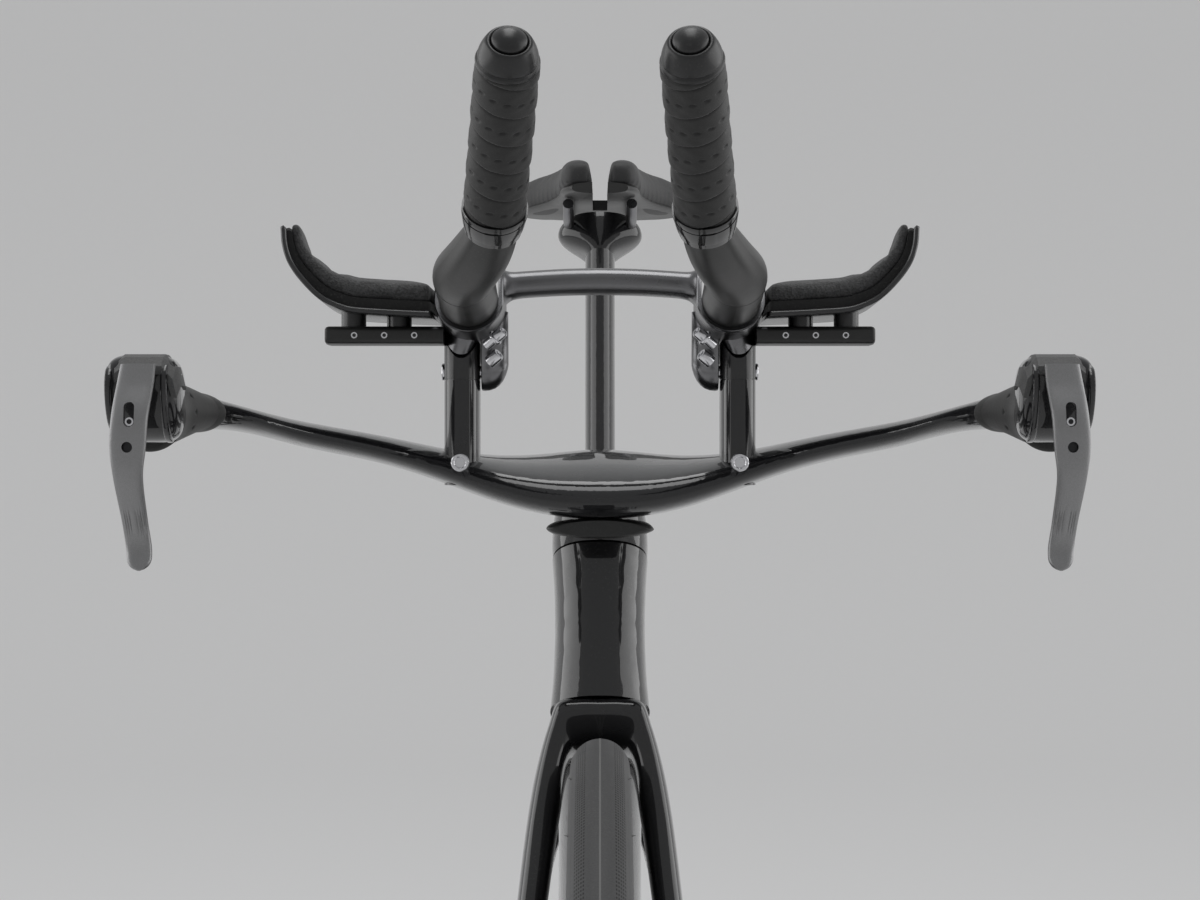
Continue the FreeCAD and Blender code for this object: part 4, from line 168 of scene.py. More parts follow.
def over(tree, mask, below, above):
    """One colour laid over another by a mask."""
    return node(tree, "ShaderNodeMix", {0: mask, 6: below, 7: above}, data_type="RGBA").outputs[2]


def tone(red, green=None, blue=None):
    """Colour with full alpha; one number gives a grey."""
    return (red, red if green is None else green, red if blue is None else blue, 1.0)


DUST = tone(0.42, 0.41, 0.39)
# Near black painted as shade into tape and grip holes, tape lap grooves and tyre dimples.
PAINTED_SHADE = tone(0.003)


def blank(name):
    """New material with its tree and its shader."""
    made = bpy.data.materials.new(name)
    made.use_nodes = True
    tree = made.node_tree
    return made, tree, next(item for item in tree.nodes if item.type == "BSDF_PRINCIPLED")


def bump(tree, height, strength, distance):
    """Normal from a height."""
    values = {"Height": height, "Strength": strength, "Distance": distance}
    return node(tree, "ShaderNodeBump", values).outputs[0]


def painted(name, colour, roughness, drift, dust, grain, lift, contrast, values, stretch=EVEN):
    """Finish with grain, wiping marks and dust; values go straight on the shader."""
    made, tree, shader = blank(name)
    fleck = placed(tree, FINE_GRAIN, {"Scale": grain, "Contrast": contrast, "Stretch": stretch})
    marks = placed(tree, HANDLED, {"Roughness": roughness, "Drift": drift, "Dust": dust})
    base = over(tree, marks["Dust"], shaded(tree, tone(*colour), fleck["Shade"]), DUST)
    fill(tree, shader.inputs, {"Base Color": base, "Roughness": marks["Roughness"],
                               "Normal": bump(tree, fleck["Height"], lift, 0.0004), **values})
    return made


# Finishes

CLEAR = {"Coat Weight": 1.0, "Coat Roughness": 0.025, "Coat IOR": 1.5, "Specular IOR Level": 0.1}
METAL = {"Metallic": 1.0}
BRUSHED = (1.0, 0.12, 1.0)
PAINTED = (
    # name, colour, roughness, drift, dust, grain, lift, contrast, shader values, grain's stretch
    ("gloss_frame", (0.011, 0.011, 0.012), 0.3, 0.05, 0.05, 260.0, 0.012, 0.1, CLEAR),
    ("gloss_cockpit", (0.012, 0.012, 0.0135), 0.26, 0.05, 0.04, 300.0, 0.01, 0.1, CLEAR),
    ("satin_alloy", (0.17, 0.17, 0.175), 0.3, 0.05, 0.03, 2600.0, 0.05, 0.12, METAL),
    ("matte_composite", (0.022, 0.022, 0.0215), 0.38, 0.05, 0.04, 2200.0, 0.06, 0.14,
     {"Specular IOR Level": 0.45}),
    ("lever_grey", (0.25, 0.25, 0.253), 0.42, 0.05, 0.03, 3600.0, 0.16, 0.3, METAL),
    ("grip_rubber", (0.05, 0.05, 0.05), 0.62, 0.06, 0.08, 1500.0, 0.2, 0.25, {"Specular IOR Level": 0.4}),
    ("plug_rubber", (0.013, 0.013, 0.0135), 0.36, 0.06, 0.06, 900.0, 0.04, 0.15, {"Specular IOR Level": 0.5}),
    ("band_vinyl", (0.01, 0.01, 0.0105), 0.16, 0.05, 0.02, 180.0, 0.03, 0.1,
     {"Coat Weight": 0.6, "Coat Roughness": 0.06}),
    # The pad's base layer is near black partly for its own colour and partly as painted shade under the grey
    # foam.
    ("pad_base_foam_and_painted_shade", (0.012, 0.012, 0.012), 0.85, 0.04, 0.1, 1300.0, 0.3, 0.5, {"Sheen Weight": 0.1}),
    ("steel", (0.62, 0.62, 0.64), 0.24, 0.06, 0.0, 1400.0, 0.04, 0.1, METAL, BRUSHED),
    ("dark_steel", (0.2, 0.2, 0.21), 0.3, 0.06, 0.0, 1400.0, 0.05, 0.1, METAL, BRUSHED),
    ("black_alloy", (0.035, 0.035, 0.037), 0.36, 0.05, 0.04, 2400.0, 0.05, 0.14, {"Metallic": 0.85}),
    ("rim_composite", (0.014, 0.014, 0.0145), 0.4, 0.06, 0.06, 420.0, 0.02, 0.12,
     {"Specular IOR Level": 0.4}),
    ("saddle_cover", (0.02, 0.02, 0.0205), 0.6, 0.05, 0.06, 1100.0, 0.35, 0.25,
     {"Sheen Weight": 0.1, "Specular IOR Level": 0.4}),
    ("satin_black", (0.03, 0.03, 0.031), 0.24, 0.05, 0.03, 2400.0, 0.04, 0.14, {"Specular IOR Level": 0.55}),
    ("cap_plastic", (0.09, 0.09, 0.09), 0.5, 0.05, 0.04, 1500.0, 0.75, 0.5, {"Specular IOR Level": 0.5}),
)
FINISHES = {row[0]: painted(*row) for row in PAINTED}


def make_foam():
    """Cut grey foam with its open cells."""
    made, tree, shader = blank("pad_foam")
    cells = placed(tree, SPECKS, {"Scale": 1150.0, "Contrast": 0.55})
    fill(tree, shader.inputs, {"Base Color": shaded(tree, tone(0.06, 0.06, 0.0605), cells["Shade"]),
                               "Normal": bump(tree, cells["Height"], 0.5, 0.0006),
                               "Roughness": 0.92, "Sheen Weight": 0.15, "Sheen Roughness": 0.6})
    return made


def make_punched(name, colour):
    """Matte tape or rubber: fine leather-like grain, with near-black painted shade where its point mask marks
    holes and lap grooves.
    """
    made, tree, shader = blank(name)
    fleck = placed(tree, FINE_GRAIN, {"Scale": 1700.0, "Contrast": 0.3, "Stretch": EVEN})
    marks = placed(tree, HANDLED, {"Roughness": 0.56, "Drift": 0.07, "Dust": 0.05})
    # The point mask lays painted shade into the holes and the tape's lap grooves.
    pore_and_painted_shade = node(tree, "ShaderNodeAttribute", attribute_name="pore_and_painted_shade").outputs["Fac"]
    base = over(tree, marks["Dust"], shaded(tree, colour, fleck["Shade"]), DUST)
    fill(tree, shader.inputs, {"Base Color": over(tree, pore_and_painted_shade, base, PAINTED_SHADE), "Roughness": marks["Roughness"],
                               "Normal": bump(tree, fleck["Height"], 0.22, 0.0005),
                               "Specular IOR Level": 0.42, "Sheen Weight": 0.12})
    return made


DOT_ROWS = (6.2, 11.85)
DOT_ROW_GAP = 0.57
DOT_GAP = 1.3


def make_tyre():
    """Rubber with a lighter middle seam and rows of small shoulder dimples painted near black as shade, laid
    out on the piece's UV map.
    """
    made, tree, shader = blank("tyre_rubber")
    mapped = node(tree, "ShaderNodeTexCoord").outputs["UV"]
    flat = node(tree, "ShaderNodeSeparateXYZ", {"Vector": mapped}).outputs
    fleck = placed(tree, FINE_GRAIN, {"Scale": 1300.0, "Contrast": 0.3, "Stretch": EVEN})
    marks = placed(tree, HANDLED, {"Roughness": 0.6, "Drift": 0.06, "Dust": 0.1})
    first, last = DOT_ROWS
    across = math_node(tree, "ABSOLUTE", flat["Y"])
    rows = math_node(tree, "PINGPONG", math_node(tree, "SUBTRACT", across, first), DOT_ROW_GAP)
    steps = math_node(tree, "PINGPONG", flat["X"], DOT_GAP)
    dots = math_node(tree, "MULTIPLY", ranged(tree, rows, 0.16, 0.26, 0.0, 1.0),
                     ranged(tree, steps, 0.5, 0.7, 0.0, 1.0))
    zone = math_node(tree, "MULTIPLY", ranged(tree, across, first - 0.1, first, 0.0, 1.0),
                     ranged(tree, across, last, last + 0.1, 1.0, 0.0))
    dots = math_node(tree, "MULTIPLY", dots, zone)
    base = over(tree, marks["Dust"], shaded(tree, tone(0.062, 0.062, 0.063), fleck["Shade"]), DUST)
    base = over(tree, ranged(tree, across, 0.3, 0.5, 1.0, 0.0), base, tone(0.15, 0.15, 0.148))
    # Painted shade in the shoulder dimples.
    base = over(tree, math_node(tree, "MULTIPLY", dots, 0.96), base, PAINTED_SHADE)
    height = math_node(tree, "SUBTRACT", math_node(tree, "MULTIPLY", fleck["Height"], 0.3), dots)
    fill(tree, shader.inputs, {"Base Color": base, "Roughness": marks["Roughness"],
                               "Normal": bump(tree, height, 0.5, 0.0004), "Specular IOR Level": 0.42})
    return made


FINISHES["pad_foam"] = make_foam()
FINISHES["tape_fabric"] = make_punched("tape_fabric", tone(0.024, 0.0238, 0.0232))
FINISHES["bell_rubber"] = make_punched("bell_rubber", tone(0.05, 0.05, 0.049))
FINISHES["tyre_rubber"] = make_tyre()
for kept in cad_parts.values():
    for holder in kept.material_slots:
        holder.material = FINISHES[holder.material.name.split(".")[0]]


# Meshes


def spot(x, y, z):
    """Point of the shared frame given in millimetres."""
    return Vector((x, y, z)) * MM


def add_object(name, data):
    """New object in the scene."""
    made = bpy.data.objects.new(name, data)
    bpy.context.scene.collection.objects.link(made)
    return made


def evaluated_mesh(piece):
    """Plain mesh of a piece with its modifiers."""
    graph = bpy.context.evaluated_depsgraph_get()
    return bpy.data.meshes.new_from_object(piece.evaluated_get(graph), depsgraph=graph)


def add_piece(name, shape, finish, crease=35.0, marks=None, flat=None):
    """Object at the origin from (points, faces), with outward faces, point marks and a UV map when given."""
    points, faces = shape
    mesh = bpy.data.meshes.new(name)
    mesh.from_pydata([tuple(item) for item in points], [], faces)
    for label, values in (marks or {}).items():
        numbers = np.asarray(values, dtype=np.float32)
        mesh.attributes.new(label, "FLOAT", "POINT").data.foreach_set("value", numbers)
    if flat is not None:
        layer = mesh.uv_layers.new(name="flat")
        layer.data.foreach_set("uv", np.asarray(flat, dtype=np.float32).ravel())
    tidy = bmesh.new()
    tidy.from_mesh(mesh)
    bmesh.ops.remove_doubles(tidy, verts=tidy.verts, dist=WELD)
    bmesh.ops.recalc_face_normals(tidy, faces=tidy.faces)
    tidy.to_mesh(mesh)
    tidy.free()
    mesh.materials.append(FINISHES[finish])
    mesh.shade_smooth()
    mesh.set_sharp_from_angle(angle=math.radians(crease))
    return add_object(name, mesh)


def settle(piece, body, slot, *nodes):
    """Let a piece ride on its body and stand for CAD nodes; the slot is not used."""
    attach(piece, body)
    if nodes:
        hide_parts(*nodes)


def loft(rings, caps=True):
    """Points and faces between closed rings of equal count."""
    count = len(rings[0])
    points = [item for ring in rings for item in ring]
    faces = []
    for k in range(len(rings) - 1):
        for j in range(count):
            after = (j + 1) % count
            faces.append((k * count + j, k * count + after, (k + 1) * count + after, (k + 1) * count + j))
    if caps:
        faces.append(tuple(reversed(range(count))))
        faces.append(tuple(range(len(points) - count, len(points))))
    return points, faces


def merged(*shapes):
    """Several shapes as one."""
    points = []
    faces = []
    for more_points, more_faces in shapes:
        base = len(points)
        points.extend(more_points)
        faces.extend(tuple(base + index for index in face) for face in more_faces)
    return points, faces


def mirrored(shape):
    """The same shape on the rider's other side."""
    points, faces = shape
    other_points = [Vector((-item[0], item[1], item[2])) for item in points]
    return other_points, [tuple(reversed(face)) for face in faces]


def both(shape):
    """A shape with its mirror image."""
    return merged(shape, mirrored(shape))


def mirrored_copy(piece, name):
    """The same piece on the rider's other side, as an object of its own."""
    made = add_object(name, piece.data.copy())
    made.data.transform(Matrix.Scale(-1.0, 4, ACROSS))
    made.data.flip_normals()
    return made


def cross_axes(way):
    """Two directions square to a way, the first one nearest to the rider's left."""
    lead = ACROSS if abs(way.x) < 0.9 else BACKWARD
    first = (lead - way * lead.dot(way)).normalized()
    return first, way.cross(first)


def lathe(profile, start, way, steps=64):
    """Turned shape from (radius, along) pairs in millimetres."""
    first, second = cross_axes(way)
    spokes = [first * math.cos(TURN * k / steps) + second * math.sin(TURN * k / steps) for k in range(steps)]
    rings = []
    for radius, along in profile:
        centre = start + way * (along * MM)
        rings.append([centre + spoke * (radius * MM) for spoke in spokes])
    return loft(rings, caps=False)


def smooth_line(points, steps):
    """Rows of numbers carried through by a smooth curve, evenly in the parameter."""
    rows = np.asarray(points, dtype=float)
    count = len(rows)
    padded = np.vstack([2 * rows[0] - rows[1], rows, 2 * rows[-1] - rows[-2]])
    made = []
    for place in np.linspace(0.0, count - 1.0, steps):
        k = min(int(place), count - 2)
        t = place - k
        a, b, c, d = padded[k:k + 4]
        bend = (2 * a - 5 * b + 4 * c - d) * t ** 2
        twist = (3 * b - a - 3 * c + d) * t ** 3
        made.append(0.5 * (2 * b + (c - a) * t + bend + twist))
    return np.array(made)


def rounded_ring(centre, wide_way, thick_way, half_width, half_thickness, power, count=48):
    """Closed ring of a rounded section; a higher power makes it squarer."""
    ring = []
    for k in range(count):
        angle = TURN * k / count
        a = math.copysign(abs(math.cos(angle)) ** (2.0 / power), math.cos(angle))
        b = math.copysign(abs(math.sin(angle)) ** (2.0 / power), math.sin(angle))
        ring.append(centre + wide_way * (a * half_width * MM) + thick_way * (b * half_thickness * MM))
    return ring


def point_tree():
    """Geometry nodes: a copy of a detail on each point, turned by the point's own angles."""
    tree = bpy.data.node_groups.new("set_on_points", "GeometryNodeTree")
    tree.interface.new_socket("Points", in_out="INPUT", socket_type="NodeSocketGeometry")
    for label, kind in (("Detail", "NodeSocketObject"), ("Size", NUMBER), ("Finish", "NodeSocketMaterial")):
        tree.interface.new_socket(label, in_out="INPUT", socket_type=kind)
    tree.interface.new_socket("Made", in_out="OUTPUT", socket_type="NodeSocketGeometry")
    given = tree.nodes.new("NodeGroupInput").outputs
    detail = node(tree, "GeometryNodeObjectInfo", {"Object": given["Detail"]}).outputs["Geometry"]
    angles = node(tree, "GeometryNodeInputNamedAttribute", {"Name": "turn"}, data_type="FLOAT_VECTOR")
    turn = node(tree, "FunctionNodeEulerToRotation", {"Euler": angles.outputs["Attribute"]}).outputs[0]
    copies = node(tree, "GeometryNodeInstanceOnPoints", {"Points": given["Points"], "Instance": detail,
                                                         "Rotation": turn, "Scale": given["Size"]})
    real = node(tree, "GeometryNodeRealizeInstances", {"Geometry": copies.outputs[0]})
    dressed = node(tree, "GeometryNodeSetMaterial", {"Geometry": real.outputs[0],
                                                     "Material": given["Finish"]})
    out = tree.nodes.new("NodeGroupOutput")
    tree.links.new(dressed.outputs[0], out.inputs["Made"])
    return tree


SET_ON_POINTS = point_tree()


def set_on_points(name, places, shape, finish, crease=35.0, size=1.0):
    """One mesh with a copy of a small shape at each (point, rotation)."""
    detail = add_piece(name + "_detail", shape, finish, crease)
    mesh = bpy.data.meshes.new(name)
    mesh.from_pydata([tuple(place) for place, _ in places], [], [])
    angles = np.array([tuple(turn.to_euler()) for _, turn in places], dtype=np.float32)
    mesh.attributes.new("turn", "FLOAT_VECTOR", "POINT").data.foreach_set("vector", angles.ravel())
    carrier = add_object(name + "_points", mesh)
    row = carrier.modifiers.new("row", "NODES")
    row.node_group = SET_ON_POINTS
    sockets = SET_ON_POINTS.interface.items_tree
    names = {item.name: item.identifier for item in sockets if item.in_out == "INPUT"}
    row[names["Detail"]] = detail
    row[names["Size"]] = size
    row[names["Finish"]] = FINISHES[finish]
    made = evaluated_mesh(carrier)
    carrier.modifiers.remove(row)
    bpy.data.objects.remove(carrier)
    bpy.data.objects.remove(detail)
    made.name = name
    return add_object(name, made)


def facing(way):
    """Rotation that takes a detail's +Z to a way."""
    return way.to_track_quat("Z", "Y").to_matrix()


# Grips: wound tape, finishing bands, end plugs and shift buttons

GRIP_BASE = spot(46.0, -532.0, 895.0)
GRIP_TIP = spot(37.5, -607.0, 957.0)
GRIP_WAY = (GRIP_TIP - GRIP_BASE).normalized()
GRIP_LENGTH = (GRIP_TIP - GRIP_BASE).length / MM
TAPE_RADIUS = 13.5
TAPE_STEP = 0.8
TAPE_PITCH = 16.1
TAPE_START = 9.0
TAPE_OVERRUN = 0.3
TAPE_TUCK = 0.6
FIRST_WRAP = 2.0
LAP_SHARE = 0.05
WRAP_SWELL = 0.4
GROOVE_SHARE = 0.045
GROOVE_DEPTH = 0.55
HOLE_SPACING = 6.0
HOLE_HALF_LENGTH = 1.5
HOLE_HALF_WIDTH = 0.74
HOLE_DEPTH = 0.5


def wound_tape():
    """Left grip's tape as one skin: overlapping wraps with a row of punched holes in each, and a mask for
    painted shade in the holes and lap grooves.
    """
    steps = 150
    rows = 210
    first, second = cross_axes(GRIP_WAY)
    turn, along = np.meshgrid(np.linspace(0.0, TURN, steps, endpoint=False),
                              np.linspace(TAPE_START, GRIP_LENGTH + TAPE_OVERRUN, rows))
    wraps = (along - FIRST_WRAP) / TAPE_PITCH - turn / TURN
    number = np.floor(wraps)
    lap = wraps - number
    edge = np.clip(lap / LAP_SHARE, 0.0, 1.0)
    edge = edge * edge * (3.0 - 2.0 * edge)
    swell = WRAP_SWELL * np.sin(np.pi * np.clip(lap, 0.0, 1.0)) ** 0.8
    groove = np.exp(-(np.minimum(lap, 1.0 - lap) / GROOVE_SHARE) ** 2)
    radius = TAPE_RADIUS - TAPE_STEP + TAPE_STEP * edge * (1.0 - lap) + swell - GROOVE_DEPTH * groove
    radius += 0.07 * np.sin(3.0 * turn + 1.7 * number) + 0.05 * np.sin(7.0 * turn + along)
    travelled = (number + turn / TURN) * TURN * TAPE_RADIUS
    beside = travelled - HOLE_SPACING * np.round(travelled / HOLE_SPACING)
    away = (lap - 0.5) * TAPE_PITCH + 0.25 * beside
    reach = (beside / HOLE_HALF_LENGTH) ** 2 + (away / HOLE_HALF_WIDTH) ** 2
    radius -= HOLE_DEPTH * np.clip(1.5 - reach, 0.0, 1.0)
    tucked = along - GRIP_LENGTH + TAPE_TUCK
    radius = np.where(tucked > 0.0, radius - tucked * 0.9, radius)
    points = [GRIP_BASE + GRIP_WAY * (a * MM) + (first * math.cos(t) + second * math.sin(t)) * (r * MM)
              for a, t, r in zip(along.ravel(), turn.ravel(), radius.ravel())]
    shape = loft([points[k * steps:(k + 1) * steps] for k in range(rows)], caps=False)
    # Painted shadow lines along the lap grooves, joined with painted shade in the holes.
    painted_groove_shade = np.clip(groove * 1.7 - 0.25, 0.0, 1.0)
    return shape, np.maximum(np.clip(2.6 - 2.0 * reach, 0.0, 1.0), painted_groove_shade).ravel()


tape_shape, tape_painted_shade = wound_tape()
# The point mask paints shade into the tape's holes and lap grooves.
tapes = add_piece("wound_grip_tapes", both(tape_shape), "tape_fabric", 60.0, {"pore_and_painted_shade": np.tile(tape_painted_shade, 2)})
settle(tapes, "upper_cockpit", "tape_fabric", "grip_tapes")


def wrapped_band(profile, seam, lap, sway):
    """Glossy tape band: its end laps over its start at the seam, and its edges sway."""
    steps = 120
    first, second = cross_axes(GRIP_WAY)
    rings = []
    for radius, along in profile:
        ring = []
        for k in range(steps):
            angle = seam + TURN * k / steps
            drift = along + sway * math.sin(angle)
            out = first * math.cos(angle) + second * math.sin(angle)
            ring.append(GRIP_BASE + GRIP_WAY * (drift * MM) + out * ((radius + lap * k / steps) * MM))
        rings.append(ring)
    return loft(rings, caps=False)


# Profiles of turned pieces hold radius and distance along the axis.
BAND_PROFILE = ((11.0, 0.3), (11.9, 0.3), (12.2, 0.6), (12.6, 2.5), (13.2, 6.0), (13.7, 9.5), (14.0, 12.0),
                (14.05, 14.0), (13.95, 14.3), (12.6, 14.3))
UPPER_BAND_PROFILE = ((12.8, 4.2), (13.1, 4.2), (13.35, 5.2), (13.75, 8.0), (14.1, 10.6), (14.15, 11.4),
                      (13.6, 11.4))
lower_band = wrapped_band(BAND_PROFILE, seam=-TURN * 0.27, lap=0.28, sway=0.3)
upper_band = wrapped_band(UPPER_BAND_PROFILE, seam=-TURN * 0.2, lap=0.2, sway=0.9)
bands = add_piece("grip_finishing_bands", both(merged(lower_band, upper_band)), "band_vinyl", 30.0)
settle(bands, "upper_cockpit", "grip_rubber")

PLUG_PROFILE = ((0.0, -0.5), (12.2, -0.5), (13.0, -0.1), (13.35, 0.5), (13.4, 1.3), (13.1, 2.0), (12.6, 2.3),
                (12.45, 2.6), (12.6, 2.9), (12.65, 3.6), (12.4, 5.0), (11.9, 6.8), (11.1, 8.8), (10.2, 10.6),
                (9.6, 11.5), (9.0, 11.95), (8.4, 12.0), (7.9, 11.75), (7.62, 11.2), (7.55, 10.0), (7.55, 5.2),
                (0.0, 5.2))
plugs = add_piece("grip_end_plugs", both(lathe(PLUG_PROFILE, GRIP_TIP, GRIP_WAY)), "plug_rubber", 50.0)
settle(plugs, "upper_cockpit", "grip_rubber", "end_plugs")

BUTTON_PROFILE = ((0.0, 7.6), (7.35, 7.6), (7.4, 8.0), (7.4, 12.3), (7.25, 12.9), (6.7, 13.6), (5.6, 14.5),
                  (4.2, 15.3), (2.8, 15.85), (1.4, 16.12), (0.0, 16.2))
button_shape = lathe(BUTTON_PROFILE, GRIP_TIP, GRIP_WAY)
for side, shape in (("left", button_shape), ("right", mirrored(button_shape))):
    button = add_piece(side + "_domed_button", shape, "plug_rubber", 40.0)
    settle(button, side + "_button", "grip_rubber", side + "_shift_button")


# Soft pads

CLOTH_MOMENTS = 20


def puffed(piece, voxel, smoothing, pressure, cap):
    """A pad swollen by a short cloth run, no point moved further than the cap."""
    shape = piece.modifiers.new("even", "REMESH")
    shape.mode = "VOXEL"
    shape.voxel_size = voxel
    calm = piece.modifiers.new("calm", "SMOOTH")
    calm.factor = 0.5
    calm.iterations = smoothing
    even = evaluated_mesh(piece)
    piece.modifiers.clear()
    finish = piece.data.materials[0]
    piece.data = even
    start = np.empty(len(even.vertices) * 3)
    even.vertices.foreach_get("co", start)
    cloth = piece.modifiers.new("swell", "CLOTH")
    cloth.settings.use_pressure = True
    cloth.settings.uniform_pressure_force = pressure
    cloth.settings.effector_weights.gravity = 0.0
    cloth.settings.mass = 0.3
    cloth.settings.quality = 5
    scene = bpy.context.scene
    for moment in range(1, CLOTH_MOMENTS + 1):
        scene.frame_set(moment)
    swollen = evaluated_mesh(piece)
    piece.modifiers.remove(cloth)
    scene.frame_set(1)
    end = np.empty(len(swollen.vertices) * 3)
    swollen.vertices.foreach_get("co", end)
    moved = (end - start).reshape(-1, 3)
    size = np.linalg.norm(moved, axis=1, keepdims=True)
    moved *= np.minimum(1.0, cap / np.maximum(size, 1e-9))
    swollen.vertices.foreach_set("co", (start.reshape(-1, 3) + moved).ravel())
    piece.data = swollen
    finer = piece.modifiers.new("finer", "SUBSURF")
    finer.levels = 1
    finer.render_levels = 1
    done = evaluated_mesh(piece)
    piece.modifiers.remove(finer)
    piece.data = done
    done.materials.clear()
    done.materials.append(finish)
    done.shade_smooth()
    return piece


# The pad's curve from its inner edge to its raised outer edge, as shares of its width and its rise.
PAD_CURVE = ((0.0, 0.0), (0.228, 0.018), (0.375, 0.032), (0.522, 0.05), (0.61, 0.082), (0.743, 0.185),
             (0.86, 0.375), (0.949, 0.585), (0.99, 0.79), (1.0, 1.0))
PAD_ROOT = 80.0
PAD_HEIGHT = 866.0
PAD_WIDTH = 69.0
PAD_RISE = 40.0
PAD_FRONT = -388.0
PAD_LENGTH = 104.0
PAD_REACH = 6.0
PAD_FLARE = 4.0
TAPER_RUN = 46.0
TIP_SHARE = 0.5
TIP_LOSS = 0.26


def pad_ring(y, low, high, inner_trim, outer_trim, tip):
    """Closed J-shaped section between two lifts above the pad's curve, with a rounded outer tip."""
    back = (y - PAD_FRONT) / PAD_LENGTH
    wide = PAD_WIDTH + PAD_FLARE * back
    line = smooth_line([(PAD_ROOT + wide * a, PAD_HEIGHT + PAD_RISE * u) for a, u in PAD_CURVE], 60)
    line = np.vstack([line, line[-1] + (0.0, PAD_REACH)])
    ways = np.gradient(line, axis=0)
    ways /= np.linalg.norm(ways, axis=1, keepdims=True)
    normals = np.stack([-ways[:, 1], ways[:, 0]], axis=1)
    runs = np.concatenate([[0.0], np.cumsum(np.linalg.norm(np.diff(line, axis=0), axis=1))])
    last = runs[-1] - PAD_REACH

    def row(lift, begin, finish, count):
        """Points at one lift; what lies above the curve thins out towards the outer end."""
        keep = np.linspace(begin, finish, count)
        spots = np.stack([np.interp(keep, runs, line[:, i]) for i in (0, 1)], axis=1)
        sides = np.stack([np.interp(keep, runs, normals[:, i]) for i in (0, 1)], axis=1)
        left = np.clip((last - keep) / TAPER_RUN, 0.0, 1.0)
        least = TIP_SHARE - TIP_LOSS * back
        taper = least + (1.0 - least) * left if lift > 0.0 else np.ones(count)
        return spots + sides * (lift * taper)[:, None]

    under = row(low, inner_trim, last - outer_trim, 44)
    top = row((low + high) / 2.0, last + tip, last + tip, 1)
    upper = row(high, inner_trim + 0.8, last - outer_trim - 0.6, 44)
    return [spot(x, y, z) for x, z in list(under) + list(top) + list(reversed(upper))]


FOAM_ENDS = (
    # share of the length, thickness, inset
    (0.0, 0.8, 1.6), (0.012, 0.94, 0.6), (0.03, 0.985, 0.1), (0.12, 1.0, 0.0), (0.5, 1.03, 0.0),
    (0.88, 1.0, 0.0), (0.97, 0.985, 0.1), (0.988, 0.94, 0.6), (1.0, 0.8, 1.6),
)
FOAM_LIFT = 4.4
FOAM_THICKNESS = 9.4
BASE_LIFT = 0.1
BASE_TOP = 4.6
CARRIER_ENDS = ((0.0, 0.7), (0.004, 0.25), (0.012, 0.0), (0.5, 0.0), (0.988, 0.0), (0.996, 0.25), (1.0, 0.7))
CARRIER_OVERHANG = 3.0
CARRIER_THICKNESS = 2.8
BRIDGE_Y = -362.0
POST_RADIUS = 6.0
POST_FOOT = 859.4
POSTS = ((97.0, 6.4), (119.0, 8.2))
foam_rings = []
base_rings = []
for along, thick, inset in FOAM_ENDS:
    y = PAD_FRONT + PAD_LENGTH * along
    top = FOAM_LIFT + FOAM_THICKNESS * thick
    foam_rings.append(pad_ring(y, FOAM_LIFT, top, inset + 0.6, inset - 1.2, 3.6 - inset))
    base_rings.append(pad_ring(y, BASE_LIFT, BASE_TOP, inset + 0.2, inset + 0.2, -inset))
carrier_rings = []
for along, trim in CARRIER_ENDS:
    y = PAD_FRONT - CARRIER_OVERHANG + (PAD_LENGTH + 2.0 * CARRIER_OVERHANG) * along
    carrier_rings.append(pad_ring(y, trim - CARRIER_THICKNESS, -trim, trim, trim, 0.8 - trim))
posts = [lathe(((0.0, 0.0), (POST_RADIUS, 0.0), (POST_RADIUS, rise), (0.0, rise)),
               spot(x, BRIDGE_Y, POST_FOOT), UP, 40) for x, rise in POSTS]
carriers = add_piece("arm_pad_carriers", both(merged(loft(carrier_rings), *posts)), "satin_black", 40.0)
settle(carriers, "upper_cockpit", "matte_composite", "pad_carriers")
left_foam = puffed(add_piece("left_arm_pad_foam", loft(foam_rings), "pad_foam"), 0.0024, 2, 1.5, 0.0008)
right_foam = mirrored_copy(left_foam, "right_arm_pad_foam")
for foam in (left_foam, right_foam):
    settle(foam, "upper_cockpit", "pad_foam")
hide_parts("arm_pads")
# Near black base layer under the foam: partly its own colour, partly painted shade.
pad_layers = add_piece("arm_pad_base_layers", both(loft(base_rings)), "pad_base_foam_and_painted_shade", 40.0)
settle(pad_layers, "upper_cockpit", "pad_foam")

SADDLE_ROWS = (
    # share of the length, width, drop, thickness
    (0.0, 0.30, 0.28, 0.62), (0.05, 0.38, 0.1, 0.85), (0.2, 0.44, 0.02, 1.0), (0.42, 0.52, 0.0, 1.0),
    (0.62, 0.72, 0.02, 1.0), (0.8, 0.97, 0.02, 1.0), (0.93, 0.98, 0.02, 0.95), (1.0, 0.78, 0.16, 0.62),
)
SADDLE_SECTION = ((0.0, 0.0), (0.0, 0.35), (0.0, 0.72), (0.03, 0.92), (0.12, 1.0), (0.35, 1.0), (0.6, 0.97),
                  (0.8, 0.88), (0.92, 0.7), (0.985, 0.42), (1.0, 0.14), (0.97, 0.0), (0.7, 0.0), (0.35, 0.0))
SADDLE_TOP = 993.0
SADDLE_DEPTH = 24.0
SADDLE_HALF_WIDTH = 67.0
SADDLE_NOSE = 140.0
SADDLE_LENGTH = 245.0
SADDLE_SWELL_ROOM = 2.4
CHANNEL_HALF_WIDTH = 5.2
SADDLE_EDGE_ROOM = 6.4


